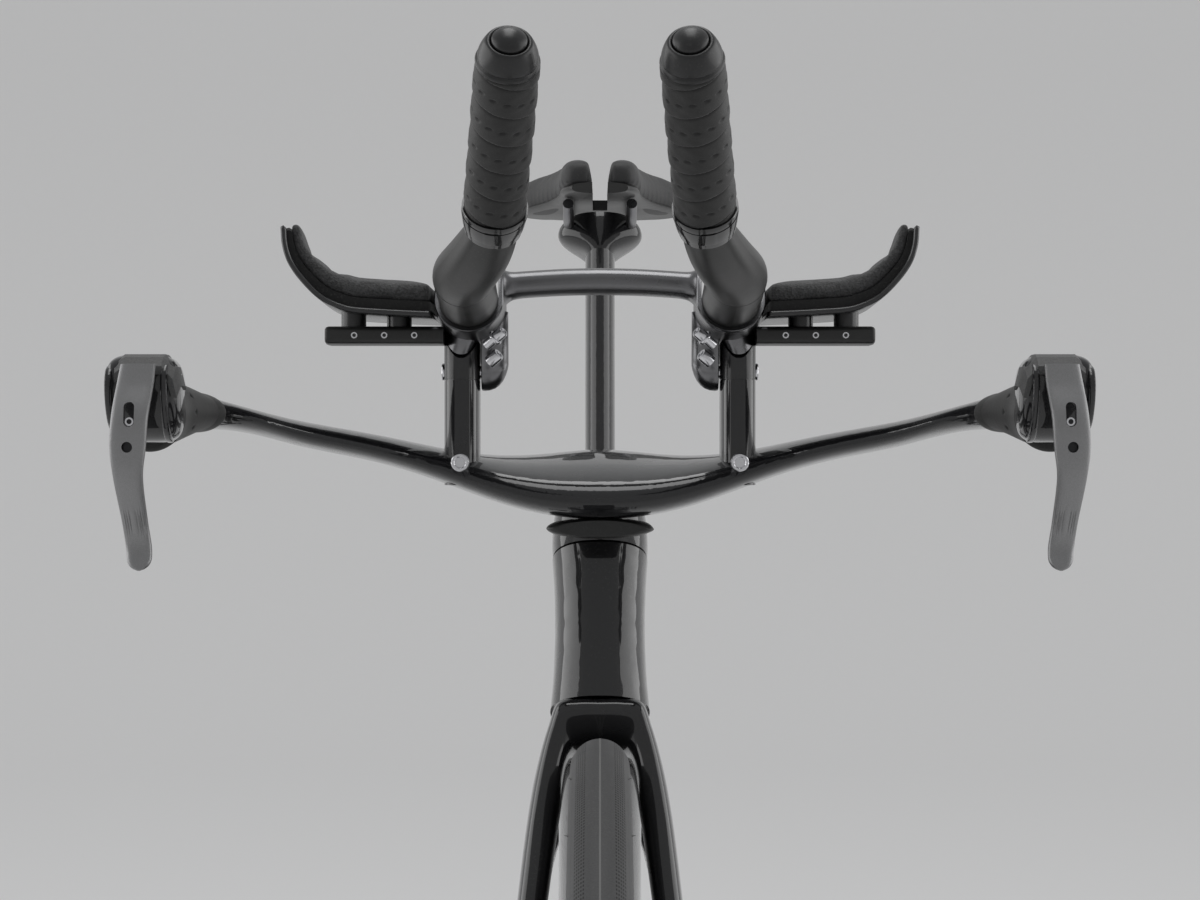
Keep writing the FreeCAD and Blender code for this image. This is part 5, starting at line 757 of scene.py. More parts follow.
def saddle_half():
    """Left half of the padded saddle, beside its open channel."""
    rings = []
    for along, wide, drop, thick in smooth_line(SADDLE_ROWS, 60):
        width = SADDLE_HALF_WIDTH * wide - SADDLE_EDGE_ROOM
        high = SADDLE_TOP - SADDLE_DEPTH * drop - SADDLE_SWELL_ROOM
        deep = SADDLE_DEPTH * thick - SADDLE_SWELL_ROOM
        y = SADDLE_NOSE + SADDLE_LENGTH * along
        rings.append([spot(CHANNEL_HALF_WIDTH + width * a, y, high - deep * (1.0 - u))
                      for a, u in SADDLE_SECTION])
    return loft(rings)


left_seat = puffed(add_piece("left_saddle_pad", saddle_half(), "saddle_cover"), 0.003, 10, 3.0, 0.0025)
right_seat = mirrored_copy(left_seat, "right_saddle_pad")
for half in (left_seat, right_seat):
    settle(half, "seat", "saddle_cover")
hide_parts("saddle_pad")


# Wheels

FRONT_AXLE = spot(0.0, -500.0, 336.0)
REAR_AXLE = spot(0.0, 500.0, 336.0)
TYRE_CENTRE = 322.5
TYRE_REACH = 13.25
TYRE_SEAM = 0.2
TYRE_BEAD = 313.0
BEAD_SIDE = 11.6
SHOULDER_LINES = (34.0, 38.5, 43.0, 56.0, 60.5)
SHOULDER_LINE_DEPTH = 0.16


def wheel_skin(profile, axle, steps):
    """Closed loop of (radius, across) swept round the axle, with flat millimetre coordinates."""
    count = len(profile)
    radii = np.array([item[0] for item in profile])
    sides = np.array([item[1] for item in profile])
    runs = np.concatenate([[0.0], np.cumsum(np.hypot(np.diff(radii), np.diff(sides)))])
    runs -= runs[-1] / 2.0
    around = TURN * radii.max() / steps
    points = []
    faces = []
    flat = []
    for k in range(steps):
        angle = TURN * k / steps
        for radius, side in profile:
            points.append(axle + spot(side, radius * math.cos(angle), radius * math.sin(angle)))
        after = (k + 1) % steps
        here = around * k
        there = around * (k + 1)
        for j in range(count - 1):
            faces.append((k * count + j, after * count + j, after * count + j + 1, k * count + j + 1))
            flat += [(here, runs[j]), (there, runs[j]), (there, runs[j + 1]), (here, runs[j + 1])]
    return (points, faces), flat


def tyre_profile():
    """Round section from bead to bead with a middle seam and fine shoulder lines."""
    made = [(TYRE_BEAD, -BEAD_SIDE)]
    for degrees in np.linspace(-117.0, 117.0, 79):
        reach = TYRE_REACH
        reach += TYRE_SEAM * math.exp(-(degrees / 1.6) ** 2)
        reach -= sum(SHOULDER_LINE_DEPTH * math.exp(-((abs(degrees) - line) / 0.9) ** 2)
                     for line in SHOULDER_LINES)
        angle = math.radians(degrees)
        made.append((TYRE_CENTRE + reach * math.cos(angle), reach * math.sin(angle)))
    made.append((TYRE_BEAD, BEAD_SIDE))
    return made


# The rim's section holds radius and distance from the middle.
RIM_HALF = ((316.2, 12.2), (316.6, 13.1), (315.8, 13.5), (311.0, 13.5), (304.0, 13.45), (296.0, 13.2),
            (288.0, 12.7), (280.0, 11.6), (272.0, 9.9), (266.0, 8.0), (261.5, 5.8), (259.0, 3.4),
            (258.2, 1.2))
rim_profile = ([(316.2, 11.0)] + list(RIM_HALF) + [(radius, -side) for radius, side in reversed(RIM_HALF)]
               + [(316.2, -11.0), (312.5, -10.4), (312.5, 10.4), (316.2, 11.0)])
NIPPLE = lathe(((0.0, 0.0), (2.5, 0.0), (2.6, 0.4), (2.4, 1.4), (1.9, 2.0), (1.75, 6.5), (1.5, 7.4),
                (1.05, 7.6), (1.05, 9.0)), ORIGIN, UP, 10)
VALVE = lathe(((4.2, 0.0), (4.2, 1.2), (3.2, 2.2), (3.0, 2.2), (3.0, 16.0), (2.6, 16.6), (2.6, 22.0),
               (3.1, 22.4), (3.1, 26.0), (2.4, 27.4), (0.0, 27.8)), ORIGIN, UP, 14)
WHISKER = lathe(((0.0, -0.3), (0.34, -0.3), (0.22, 0.5), (0.12, 1.3), (0.0, 1.5)), ORIGIN, UP, 5)
SPOKES = 20
SPOKE_STEP = 18.0
SPOKE_LEAN = 34.0
NIPPLE_SEAT = 261.0
NIPPLE_SINK = 2.6
FLANGE_RADIUS = 18.0
VALVE_ANGLE = 9.0
VALVE_SEAT = 258.6
WHISKERS = 34
WHISKER_LEANS = (78.0, 66.0)
WHISKER_SEAT = 13.4


def dress_wheel(end, axle, left_flange, right_flange):
    """Tyre with whiskers, rim, spoke nipples and valve of one wheel."""
    body = end + "_wheel"
    shape, flat = wheel_skin(tyre_profile(), axle, 300)
    tyre = add_piece(end + "_tyre_casing", shape, "tyre_rubber", 60.0, flat=flat)
    settle(tyre, body, "tyre_rubber", end + "_tyre")
    shape, flat = wheel_skin(rim_profile, axle, 240)
    rim = add_piece(end + "_deep_rim", shape, "rim_composite", 50.0, flat=flat)
    settle(rim, body, "rim_composite", end + "_rim")
    places = []
    for k in range(SPOKES):
        side = 1.0 if k % 2 else -1.0
        angle = math.radians(SPOKE_STEP * k)
        lean = angle + math.radians(SPOKE_LEAN) * side
        outer = spot(0.0, NIPPLE_SEAT * math.cos(angle), NIPPLE_SEAT * math.sin(angle))
        inner = spot(left_flange if side > 0 else -right_flange, FLANGE_RADIUS * math.cos(lean),
                     FLANGE_RADIUS * math.sin(lean))
        way = (inner - outer).normalized()
        places.append((axle + outer + way * (NIPPLE_SINK * MM), facing(way)))
    settle(set_on_points(end + "_nipples", places, NIPPLE, "dark_steel"), body, "dark_steel")
    angle = math.radians(VALVE_ANGLE)
    out = spot(0.0, math.cos(angle), math.sin(angle)) / MM
    places = [(axle + out * (VALVE_SEAT * MM), facing(-out))]
    settle(set_on_points(end + "_valve", places, VALVE, "black_alloy"), body, "black_alloy")
    places = []
    for k in range(WHISKERS):
        angle = TURN * (k + 0.3) / WHISKERS
        middle = axle + spot(0.0, TYRE_CENTRE * math.cos(angle), TYRE_CENTRE * math.sin(angle))
        lean = math.radians(WHISKER_LEANS[k % 2])
        rise = math.cos(lean)
        for side in (-1.0, 1.0):
            out = Vector((side * math.sin(lean), rise * math.cos(angle), rise * math.sin(angle)))
            places.append((middle + out * (WHISKER_SEAT * MM), facing(out)))
    settle(set_on_points(end + "_tyre_whiskers", places, WHISKER, "tyre_rubber", 60.0), body, "tyre_rubber")


dress_wheel("front", FRONT_AXLE, 23.0, 34.0)
dress_wheel("rear", REAR_AXLE, 36.0, 19.0)


# Chain

CHAIN_SIDE = -44.0
LINKS = 108
LINK_PITCH = 12.7
PLATE_THICKNESS = 0.95
CHAIN_WHEELS = (
    # centre in the side view, radius, sense
    ((91.294, 264.0), 101.06, -1), ((500.0, 336.0), 32.34, -1), ((513.0, 240.0), 24.26, 1),
    ((486.529, 190.652), 24.26, -1),
)
CAGE_BACK = 480.0
CAGE_TOP = 250.0
WHEEL_NEAR = 5.0
ARC_STEPS = 60


def chain_spots():
    """Roller centres along the loop round the four toothed wheels, in the side view."""
    spans = []
    for k, (centre, radius, sense) in enumerate(CHAIN_WHEELS):
        after, after_radius, after_sense = CHAIN_WHEELS[(k + 1) % len(CHAIN_WHEELS)]
        run = Vector(after) - Vector(centre)
        unit = run.normalized()
        lean = (after_sense * after_radius - sense * radius) / run.length
        side = Vector((-unit.y, unit.x)) * math.sqrt(1.0 - lean * lean) + unit * lean
        spans.append((Vector(centre) - side * (sense * radius),
                      Vector(after) - side * (after_sense * after_radius)))
    line = []
    for k, (centre, radius, sense) in enumerate(CHAIN_WHEELS):
        begin = spans[k - 1][1] - Vector(centre)
        end = spans[k][0] - Vector(centre)
        first = math.atan2(begin.y, begin.x)
        swept = ((math.atan2(end.y, end.x) - first) * sense) % TURN * sense
        for step in range(ARC_STEPS):
            angle = first + swept * step / ARC_STEPS
            line.append(Vector(centre) + Vector((math.cos(angle), math.sin(angle))) * radius)
        line += spans[k]
    line.append(line[0])
    runs = np.concatenate([[0.0], np.cumsum([(b - a).length for a, b in zip(line, line[1:])])])
    even = np.linspace(0.0, runs[-1], LINKS, endpoint=False)
    backs = np.interp(even, runs, [place.x for place in line])
    heights = np.interp(even, runs, [place.y for place in line])
    return [Vector(place) for place in zip(backs, heights)]


def link_plate(height, waist, offset):
    """Two waisted side plates of one link, along +Y from its first pin."""
    outline = []
    for start, pin, dip in ((math.pi / 2, 0.0, -waist), (-math.pi / 2, LINK_PITCH, waist)):
        for k in range(9):
            angle = start + math.pi * k / 8
            outline.append((pin + height * math.cos(angle), height * math.sin(angle)))
        outline.append((LINK_PITCH / 2.0, dip))
    plates = []
    for side in (-1.0, 1.0):
        levels = (offset, offset + PLATE_THICKNESS)
        plates.append(loft([[spot(side * level, y, z) for y, z in outline] for level in levels]))
    return merged(*plates)


def on_wheel(place):
    """Whether a roller lies round one of the toothed wheels or close before it."""
    return any((place - Vector(centre)).length < radius + WHEEL_NEAR for centre, radius, _ in CHAIN_WHEELS)


def chain_body(place):
    """Body that carries the chain at a place of the side view."""
    return "derailleur_cage" if place.x > CAGE_BACK and place.y < CAGE_TOP else "frame"


def chain_places():
    """Places of inner links, outer links and rollers clear of the teeth, on the frame and on the cage."""
    spots = chain_spots()
    kinds = {(body, kind): [] for body in ("frame", "derailleur_cage")
             for kind in ("inner", "outer", "roller")}
    for k, here in enumerate(spots):
        after = spots[(k + 1) % LINKS]
        lean = math.atan2(after.y - here.y, after.x - here.x)
        place = (spot(CHAIN_SIDE, here.x, here.y), Matrix.Rotation(lean, 3, "X"))
        kinds[chain_body((here + after) / 2.0), "inner" if k % 2 else "outer"].append(place)
        if not on_wheel(here):
            kinds[chain_body(here), "roller"].append(place)
    return kinds


ROLLER = lathe(((0.0, -2.95), (1.7, -2.95), (1.7, -1.5), (3.8, -1.45), (3.85, -1.2), (3.85, 1.2), (3.8, 1.45),
                (1.7, 1.5), (1.7, 2.95), (0.0, 2.95)), ORIGIN, ACROSS, 12)
CHAIN_DETAILS = {"inner": ("inner_links", link_plate(3.9, 2.4, 1.5), "steel"),
                 "outer": ("outer_links", link_plate(4.0, 2.6, 1.52), "dark_steel"),
                 "roller": ("rollers", ROLLER, "steel")}
for (body, kind), places in chain_places().items():
    if places:
        ending, shape, finish = CHAIN_DETAILS[kind]
        label = ("chain_" if body == "frame" else "cage_chain_") + ending
        links = set_on_points(label, places, shape, finish, 40.0)
        settle(links, body, "steel", *(("chain",) if label == "chain_outer_links" else ()))


# Brake levers and their bodies

LEVER_SIDE = 206.5
LEVER_FRONT = -478.0
LEVER_TOP = 838.0
LEVER_DROP = 92.0
LEVER_BOW = 8.0
LEVER_HALF_WIDTH = 8.3
LEVER_HALF_THICKNESS = 2.3
LEVER_ROWS = (
    # drop, bow forward, sway outward, width, thickness
    (0.0, -0.1, -0.02, 0.95, 1.0), (0.1, 0.2, 0.1, 1.0, 1.05), (0.25, 0.85, 0.3, 1.0, 1.1),
    (0.4, 0.8, 0.42, 0.98, 1.05), (0.55, 0.45, 0.44, 0.8, 1.0), (0.76, -0.8, 0.25, 0.7, 0.95),
    (0.9, -1.2, 0.08, 0.7, 0.95), (1.0, -0.75, 0.05, 0.64, 0.8),
)
TIP_START = 0.94
GRIP_LINE_DEPTH = 0.16
GRIP_LINE_PITCH = 1.05
GRIP_LINE_HALF_WIDTH = 4.6


def prism(outline, low, high, round_edge):
    """Slab from a side outline of (y, z) between two x levels, with rounded edges."""
    made = bmesh.new()
    rings = [[made.verts.new(spot(x, y, z)) for y, z in outline] for x in (low, high)]
    made.faces.new(rings[0])
    made.faces.new(list(reversed(rings[1])))
    for j in range(len(outline)):
        after = (j + 1) % len(outline)
        made.faces.new((rings[0][j], rings[1][j], rings[1][after], rings[0][after]))
    bmesh.ops.recalc_face_normals(made, faces=made.faces)
    bmesh.ops.bevel(made, geom=list(made.edges), offset=round_edge * MM, segments=3, affect="EDGES",
                    profile=0.5)
    made.verts.index_update()
    points = [item.co.copy() for item in made.verts]
    faces = [tuple(corner.index for corner in face.verts) for face in made.faces]
    made.free()
    return points, faces


def carved(shape, finish, *cutters):
    """Shape with closed shapes cut out of it."""
    piece = add_piece("blank", shape, finish)
    for number, cutter in enumerate(cutters):
        tool = add_piece("cutter_%d" % number, cutter, finish)
        cut = piece.modifiers.new("cut", "BOOLEAN")
        cut.operation = "DIFFERENCE"
        cut.solver = "EXACT"
        cut.object = tool
        made = evaluated_mesh(piece)
        piece.modifiers.remove(cut)
        piece.data = made
        bpy.data.objects.remove(tool)
    points = [item.co.copy() for item in piece.data.vertices]
    faces = [tuple(face.vertices) for face in piece.data.polygons]
    bpy.data.objects.remove(piece)
    return points, faces


def rounded_loop(outline):
    """Closed outline carried through its corners by a smooth curve, four points to a corner."""
    around = list(outline[-2:]) + list(outline) + list(outline[:3])
    line = smooth_line(around, (len(around) - 1) * 4 + 1)
    return [tuple(item) for item in line[8:8 + len(outline) * 4]]


def lever_blade():
    """Curved blade with fine grip lines near its rounded tip."""
    rows = smooth_line(LEVER_ROWS, 90)
    centres = [spot(LEVER_SIDE + LEVER_HALF_WIDTH * sway, LEVER_FRONT - LEVER_BOW * bow,
                    LEVER_TOP - LEVER_DROP * drop) for drop, bow, sway, _, _ in rows]
    rings = []
    for k, (drop, _, _, width, thick) in enumerate(rows):
        way = (centres[min(k + 1, len(rows) - 1)] - centres[max(k - 1, 0)]).normalized()
        flat = Vector((0.0, way.z, -way.y)).normalized()
        taper = math.sqrt(max(0.02, 1.0 - max(0.0, (drop - TIP_START) / (1.0 - TIP_START)) ** 2))
        ring = rounded_ring(centres[k], ACROSS, flat, LEVER_HALF_WIDTH * width * taper,
                            LEVER_HALF_THICKNESS * thick * max(taper, 0.4), 3.0, 96)
        depth = GRIP_LINE_DEPTH * math.exp(-((drop - 0.755) / 0.075) ** 4) * MM
        for item in ring:
            beside = item.x - centres[k].x
            if abs(beside) < GRIP_LINE_HALF_WIDTH * MM:
                item += flat * (depth * math.cos(TURN * beside / (GRIP_LINE_PITCH * MM)))
        rings.append(ring)
    return loft(rings)


def oblong(x, z, half_width, half_height):
    """Upright rounded slot cutter through the blade."""
    rings = []
    for y in (-500.0, -470.0):
        ring = []
        for k in range(32):
            angle = TURN * k / 32
            lift = half_height - half_width if math.sin(angle) >= 0.0 else half_width - half_height
            ring.append(spot(x + half_width * math.cos(angle), y, z + lift + half_width * math.sin(angle)))
        rings.append(ring)
    return loft(rings)


# Side outlines of the lever's tongue and of the body's cheeks, as (y, z).
TONGUE = ((-456.0, 825.0), (-450.5, 828.0), (-449.5, 834.0), (-453.0, 838.0), (-460.0, 838.5),
          (-478.0, 836.5), (-480.5, 826.0))
CHEEK = ((-447.0, 811.0), (-455.0, 808.6), (-464.0, 812.0), (-471.0, 820.0), (-474.0, 829.0), (-471.0, 835.6),
         (-463.0, 838.4), (-452.0, 838.0), (-446.5, 833.0), (-445.0, 822.0))
INNER_CHEEK = ((-447.0, 805.0), (-456.0, 803.6), (-465.0, 808.0), (-472.0, 817.0), (-475.0, 827.0),
               (-473.0, 836.0), (-465.0, 840.0), (-452.0, 839.0), (-446.5, 833.0), (-445.0, 818.0))
BODY_ROWS = (
    # y, low z, high z, half width
    (-440.2, 804.5, 839.0, 15.6), (-443.0, 803.4, 841.6, 16.6), (-449.0, 803.2, 842.8, 16.9),
    (-456.0, 804.6, 843.0, 16.9), (-462.0, 808.5, 843.0, 16.6), (-467.0, 814.5, 841.6, 15.8),
    (-470.0, 820.5, 838.6, 14.4), (-470.9, 825.5, 834.5, 12.6),
)
CAP_SECTION = ((188.4, 829.0), (190.6, 837.5), (196.0, 843.2), (214.0, 843.2), (218.6, 840.0), (218.4, 836.0),
               (213.0, 839.6), (197.0, 839.4), (193.0, 835.6), (190.8, 828.6))
CAP_ROWS = (
    # y, drop, width
    (-472.6, 5.6, 0.93), (-468.5, 1.4, 0.98), (-464.5, 0.0, 1.0), (-452.0, 0.0, 1.0), (-447.0, 1.6, 0.97),
)
SCREW_SEAT = spot(LEVER_SIDE + 2.6, -484.6, 812.6)
HOLE_SEAT = spot(LEVER_SIDE + 3.5, -483.6, 801.2)
SET_SCREW = lathe(((1.15, 0.6), (1.15, -1.2), (1.9, -1.2), (2.0, -1.0), (2.0, 3.0), (0.0, 3.0), (0.0, 0.6),
                   (1.15, 0.6)), SCREW_SEAT, BACKWARD, 24)
# A dark plug in the reach screw's socket, painted shade for the inside of the socket.
SOCKET_SHADE_PLUG = lathe(((0.0, -0.7), (1.15, -0.7), (1.15, 2.0), (0.0, 2.0)), SCREW_SEAT, BACKWARD, 24)
HOLE_PIN = lathe(((0.0, -0.3), (2.3, -0.3), (2.45, 0.0), (2.45, 1.6), (0.0, 1.6)), HOLE_SEAT, BACKWARD, 24)


def lever_cap():
    """Faceted cap over the top of a lever body."""
    return loft([[spot(LEVER_SIDE + (x - LEVER_SIDE) * draw, y, z - drop) for x, z in CAP_SECTION]
                 for y, drop, draw in CAP_ROWS])


body_shape = loft([rounded_ring(spot(LEVER_SIDE, y, (low + high) / 2.0), ACROSS, UP, wide,
                                (high - low) / 2.0, 4.2, 64)
                   for y, low, high, wide in smooth_line(BODY_ROWS, 30)])
body_shape = merged(body_shape, prism(rounded_loop(CHEEK), LEVER_SIDE + 12.6, LEVER_SIDE + 15.8, 1.0),
                    prism(rounded_loop(INNER_CHEEK), LEVER_SIDE - 12.6, LEVER_SIDE - 9.4, 1.0))
blade_shape = carved(lever_blade(), "lever_grey", oblong(LEVER_SIDE + 2.6, 815.8, 2.35, 5.6),
                     oblong(LEVER_SIDE + 3.5, 801.2, 2.4, 2.41))
blade_shape = merged(blade_shape, prism(TONGUE, LEVER_SIDE - 4.0, LEVER_SIDE + 4.0, 0.6))
for side, flip in (("left", lambda shape: shape), ("right", mirrored)):
    lever = add_piece(side + "_lever_blade", flip(blade_shape), "lever_grey", 32.0)
    settle(lever, side + "_lever", "lever_grey", side + "_brake_lever")
    screw = add_piece(side + "_reach_screw", flip(SET_SCREW), "steel", 40.0)
    settle(screw, side + "_lever", "steel")
    # The lever pin and the dark plug that paints shade into the reach screw's socket.
    pin = add_piece(side + "_lever_pin", flip(merged(HOLE_PIN, SOCKET_SHADE_PLUG)), "black_alloy", 40.0)
    settle(pin, side + "_lever", "black_alloy")
    shell = add_piece(side + "_lever_housing", flip(body_shape), "gloss_cockpit", 40.0)
    settle(shell, "front_end", "gloss_cockpit", side + "_lever_body")
    cap = add_piece(side + "_lever_cap", flip(lever_cap()), "cap_plastic", 20.0)
    settle(cap, "front_end", "matte_composite")


# Bar grips

BAR_ROWS = (
    # across, ahead, rise, chord, thickness, turn
    (0.0, 0.0, 0.0, 1.0, 1.0, 0.0), (0.17, 0.07, 0.015, 0.82, 0.86, 0.0),
    (0.324, 0.148, 0.18, 0.565, 0.64, 0.0), (0.58, 0.217, 0.55, 0.42, 0.465, 0.03),
    (0.82, 0.287, 0.86, 0.36, 0.43, 0.2), (0.928, 0.5, 0.965, 0.275, 0.6, 0.66),
    (0.981, 0.8, 0.99, 0.218, 0.857, 0.94), (1.0, 1.0, 1.0, 0.218, 0.857, 1.0),
)
BAR_HALF_SPAN = 207.0
BAR_ROOT = -325.0
BAR_REACH = 115.0
BAR_HEIGHT = 783.5
BAR_RISE = 35.5
BAR_HALF_CHORD = 55.0
BAR_HALF_THICKNESS = 14.0
BELL_START = 4.92
BELL_END = 7.0
BELL_DROP = 3.4
BELL_RINGS = 96
BELL_HOLES = 12.0
BELL_GROWTH = ((0.0, 0.3), (0.015, 0.8), (0.05, 1.0), (0.085, 0.9), (0.1, 0.7), (0.14, 0.9), (0.3, 1.9),
               (0.5, 2.9), (0.7, 3.7), (0.9, 4.4), (0.965, 4.7), (0.985, 4.5), (1.0, 3.7))
MOUTH_DRAWS = (1.2, 6.0)


def bell_grip():
    """Left rubber bell round the bar's end with a curved row of oval holes, painted shade in them, and a
    closed mouth.
    """
    steps = 132
    rows = smooth_line(BAR_ROWS, 701)
    shares, growths = zip(*BELL_GROWTH)
    draws = [(level, 0.0) for level in np.linspace(0.0, 1.0, BELL_RINGS)]
    draws += [(1.0, draw) for draw in MOUTH_DRAWS]
    rings = []
    painted_hole_shade = []
    for level, draw in draws:
        place = int(round((BELL_START + (BELL_END - BELL_START) * level) * 100))
        across, ahead, rise, chord, thick, turn = rows[place]
        grow = np.interp(level, shares, growths) - draw
        angle = turn * math.pi / 2.0
        chord_way = Vector((math.sin(angle), math.cos(angle), 0.0))
        centre = spot(BAR_HALF_SPAN * across, BAR_ROOT - BAR_REACH * ahead,
                      BAR_HEIGHT + BAR_RISE * rise - BELL_DROP * level * level)
        ring = []
        for k in range(steps):
            angle = TURN * k / steps
            index = BELL_HOLES * k / steps
            beside = (index - round(index)) * 7.4
            away = (level - 0.5 - 0.04 * math.sin(angle)) * 62.0
            reach = (beside / 0.8) ** 2 + (away / 1.5) ** 2
            pore_and_painted_shade = min(1.0, max(0.0, 1.4 - reach))
            size = grow - 0.9 * pore_and_painted_shade
            ring.append(centre + chord_way * ((BAR_HALF_CHORD * chord + size) * MM * math.cos(angle))
                        + UP * ((BAR_HALF_THICKNESS * thick + size) * MM * math.sin(angle)))
            # Painted shade for the inside of each hole.
            painted_hole_shade.append(min(1.0, pore_and_painted_shade * 1.3))
        rings.append(ring)
    return loft(rings, caps=False), painted_hole_shade


bell_shape, bell_painted_shade = bell_grip()
# The point mask paints shade into the bell holes.
bells = add_piece("bell_bar_grips", both(bell_shape), "bell_rubber", 60.0, {"pore_and_painted_shade": np.tile(bell_painted_shade, 2)})
settle(bells, "front_end", "grip_rubber", "bar_grips")


# Risers, cradles and crossbar

RISER_SIDE = 67.0
RISER_BACK = -350.0
RISER_HALF_WIDTH = 8.8
RISER_HALF_DEPTH = 16.0
RISER_POWER = 2.5
RISER_FOOT = 783.0
RISER_SPLIT = 833.9
HEAD_RADIUS = 17.2
TILT_HEIGHT = 838.0


def riser_shape(low, top_at, grow):
    """Upright rounded column from a height to the top over each depth from the tilt axis."""
    rings = []
    for share in np.linspace(0.0, 1.0, 12):
        ring = rounded_ring(spot(RISER_SIDE, RISER_BACK, 0.0), ACROSS, BACKWARD, RISER_HALF_WIDTH + grow,
                            RISER_HALF_DEPTH + grow, RISER_POWER, 64)
        for item in ring:
            top = top_at(item.y / MM - RISER_BACK)
            item.z = (low + (top - low) * share) * MM
        rings.append(ring)
    return loft(rings)


def round_top(depth):
    """Height of the riser's round head."""
    return TILT_HEIGHT + math.sqrt(HEAD_RADIUS * HEAD_RADIUS - depth * depth)


column = riser_shape(RISER_FOOT, lambda depth: RISER_SPLIT, 0.0)
columns = add_piece("riser_lower_columns", both(column), "gloss_cockpit", 50.0)
settle(columns, "front_end", "gloss_cockpit", "riser_columns")
joint_line = riser_shape(RISER_SPLIT - 0.3, lambda depth: RISER_SPLIT + 0.9, -0.5)
head = riser_shape(RISER_SPLIT + 0.5, round_top, 0.0)
heads = add_piece("riser_heads", both(merged(joint_line, head)), "satin_black", 50.0)
settle(heads, "front_end", "gloss_cockpit")

EXTENSION_LEAN = math.radians(6.8)
EXTENSION_WAY = Vector((0.0, -math.cos(EXTENSION_LEAN), math.sin(EXTENSION_LEAN)))
EXTENSION_TOP = Vector((0.0, math.sin(EXTENSION_LEAN), math.cos(EXTENSION_LEAN)))
CRADLE_MIDDLE = spot(62.5, BRIDGE_Y, 858.0 + 92.0 * math.tan(EXTENSION_LEAN))
CRADLE_RADIUS = 16.6
CRADLE_BORE = 14.15
CRADLE_ENDS = ((-29.0, 0.6), (-28.4, 0.15), (-27.0, 0.0), (0.0, 0.0), (26.0, 0.0), (28.4, 0.15), (29.0, 0.6))
CRADLE_RIM = ((16.4, 9.0), (16.6, 13.4), (16.2, 14.0), (14.6, 14.0), (14.2, 13.4))
CRADLE_SLANT = 0.34
CRADLE_HEIGHT = 30.6


def half_round(radius):
    """Lower half circle from the left to the right."""
    angles = [math.pi + math.pi * k / 32 for k in range(33)]
    return [(radius * math.cos(angle), radius * math.sin(angle)) for angle in angles]


def cradle_shell():
    """Open U-shaped cradle with a rounded rim under one extension."""
    far_rim = [(-x, u) for x, u in CRADLE_RIM]
    section = [far_rim[1], far_rim[0]] + half_round(CRADLE_RADIUS) + list(CRADLE_RIM)
    section += list(reversed(half_round(CRADLE_BORE))) + [far_rim[4], far_rim[3], far_rim[2]]
    rings = []
    for along, shrink in CRADLE_ENDS:
        ring = []
        for x, u in section:
            size = math.hypot(x, u)
            scale = (1.0 - shrink / size if size > 15.6 or u > 13.5 else 1.0) * MM
            lean = CRADLE_SLANT * max(0.0, along) * (u + CRADLE_RADIUS) / CRADLE_HEIGHT
            ring.append(CRADLE_MIDDLE + EXTENSION_WAY * ((along - lean) * MM) + ACROSS * (x * scale)
                        + EXTENSION_TOP * (u * scale))
        rings.append(ring)
    return loft(rings)


FOOT_CLEARANCE_RADIUS = 17.6
FOOT_DEPTH = 16.9
FOOT_TOP = 862.0


def cradle_foot():
    """Block between a cradle and the round head of its riser, hollow below so that it can tilt."""
    rings = []
    for share in np.linspace(0.0, 1.0, 10):
        middle = spot(RISER_SIDE - 3.0 * share, RISER_BACK - 2.0 * share, 0.0)
        ring = rounded_ring(middle, ACROSS, BACKWARD, RISER_HALF_WIDTH + 2.6 * share ** 2, 15.6 + 2.0 * share,
                            RISER_POWER, 64)
        for item in ring:
            depth = min(FOOT_DEPTH, abs(item.y / MM - RISER_BACK))
            low = TILT_HEIGHT + math.sqrt(FOOT_CLEARANCE_RADIUS * FOOT_CLEARANCE_RADIUS - depth * depth)
            item.z = (low + (FOOT_TOP - low) * share) * MM
        rings.append(ring)
    return loft(rings)


# The lug's rows hold x and radius.
LUG_ROWS = ((44.6, 2.4), (44.9, 3.4), (45.8, 5.0), (47.2, 6.6), (49.0, 7.8), (51.0, 8.6), (53.5, 9.1),
            (56.0, 9.3), (57.2, 9.2), (57.6, 8.8))
LUG_RADIUS = 9.3
LUG_RISE = 21.0


def tilt_lug():
    """Round lobe beside the riser that runs up into the cradle."""
    rings = []
    for x, radius in LUG_ROWS:
        middle = TILT_HEIGHT + (LUG_RADIUS - radius) * 0.8
        ring = []
        for k in range(56):
            angle = TURN * k / 56
            high = max(0.0, math.sin(angle))
            y = RISER_BACK + radius * math.cos(angle) * (1.0 + 0.5 * high) - 5.0 * high
            ring.append(spot(x, y, middle + radius * math.sin(angle) + LUG_RISE * high ** 1.5))
        rings.append(ring)
    return loft(rings)


CROSSBAR_ROWS = (
    # across, lift, flare
    (0.0, 0.0, 0.0), (0.35, -0.35, 0.0), (0.7, -1.3, 0.0), (0.86, -1.9, 0.06), (0.93, -2.1, 0.35),
    (0.975, -2.0, 0.95), (1.0, -1.8, 1.9),
)
CROSSBAR_HALF_SPAN = 47.6
CROSSBAR_HEIGHT = 881.4
CROSSBAR_HALF_DEPTH = 12.3
CROSSBAR_HALF_THICKNESS = 6.4


def crossbar():
    """Arched bar between the cradles with flared ends."""
    left = [tuple(row) for row in smooth_line(CROSSBAR_ROWS, 40)]
    rows = [(-across, lift, flare) for across, lift, flare in reversed(left)] + left[1:]
    rings = []
    for across, lift, flare in rows:
        middle = spot(CROSSBAR_HALF_SPAN * across, BRIDGE_Y, CROSSBAR_HEIGHT + lift - 1.5 * flare)
        rings.append(rounded_ring(middle, BACKWARD, UP, CROSSBAR_HALF_DEPTH + 2.6 * flare,
                                  CROSSBAR_HALF_THICKNESS + 3.0 * flare, 3.0, 56))
    return loft(rings)


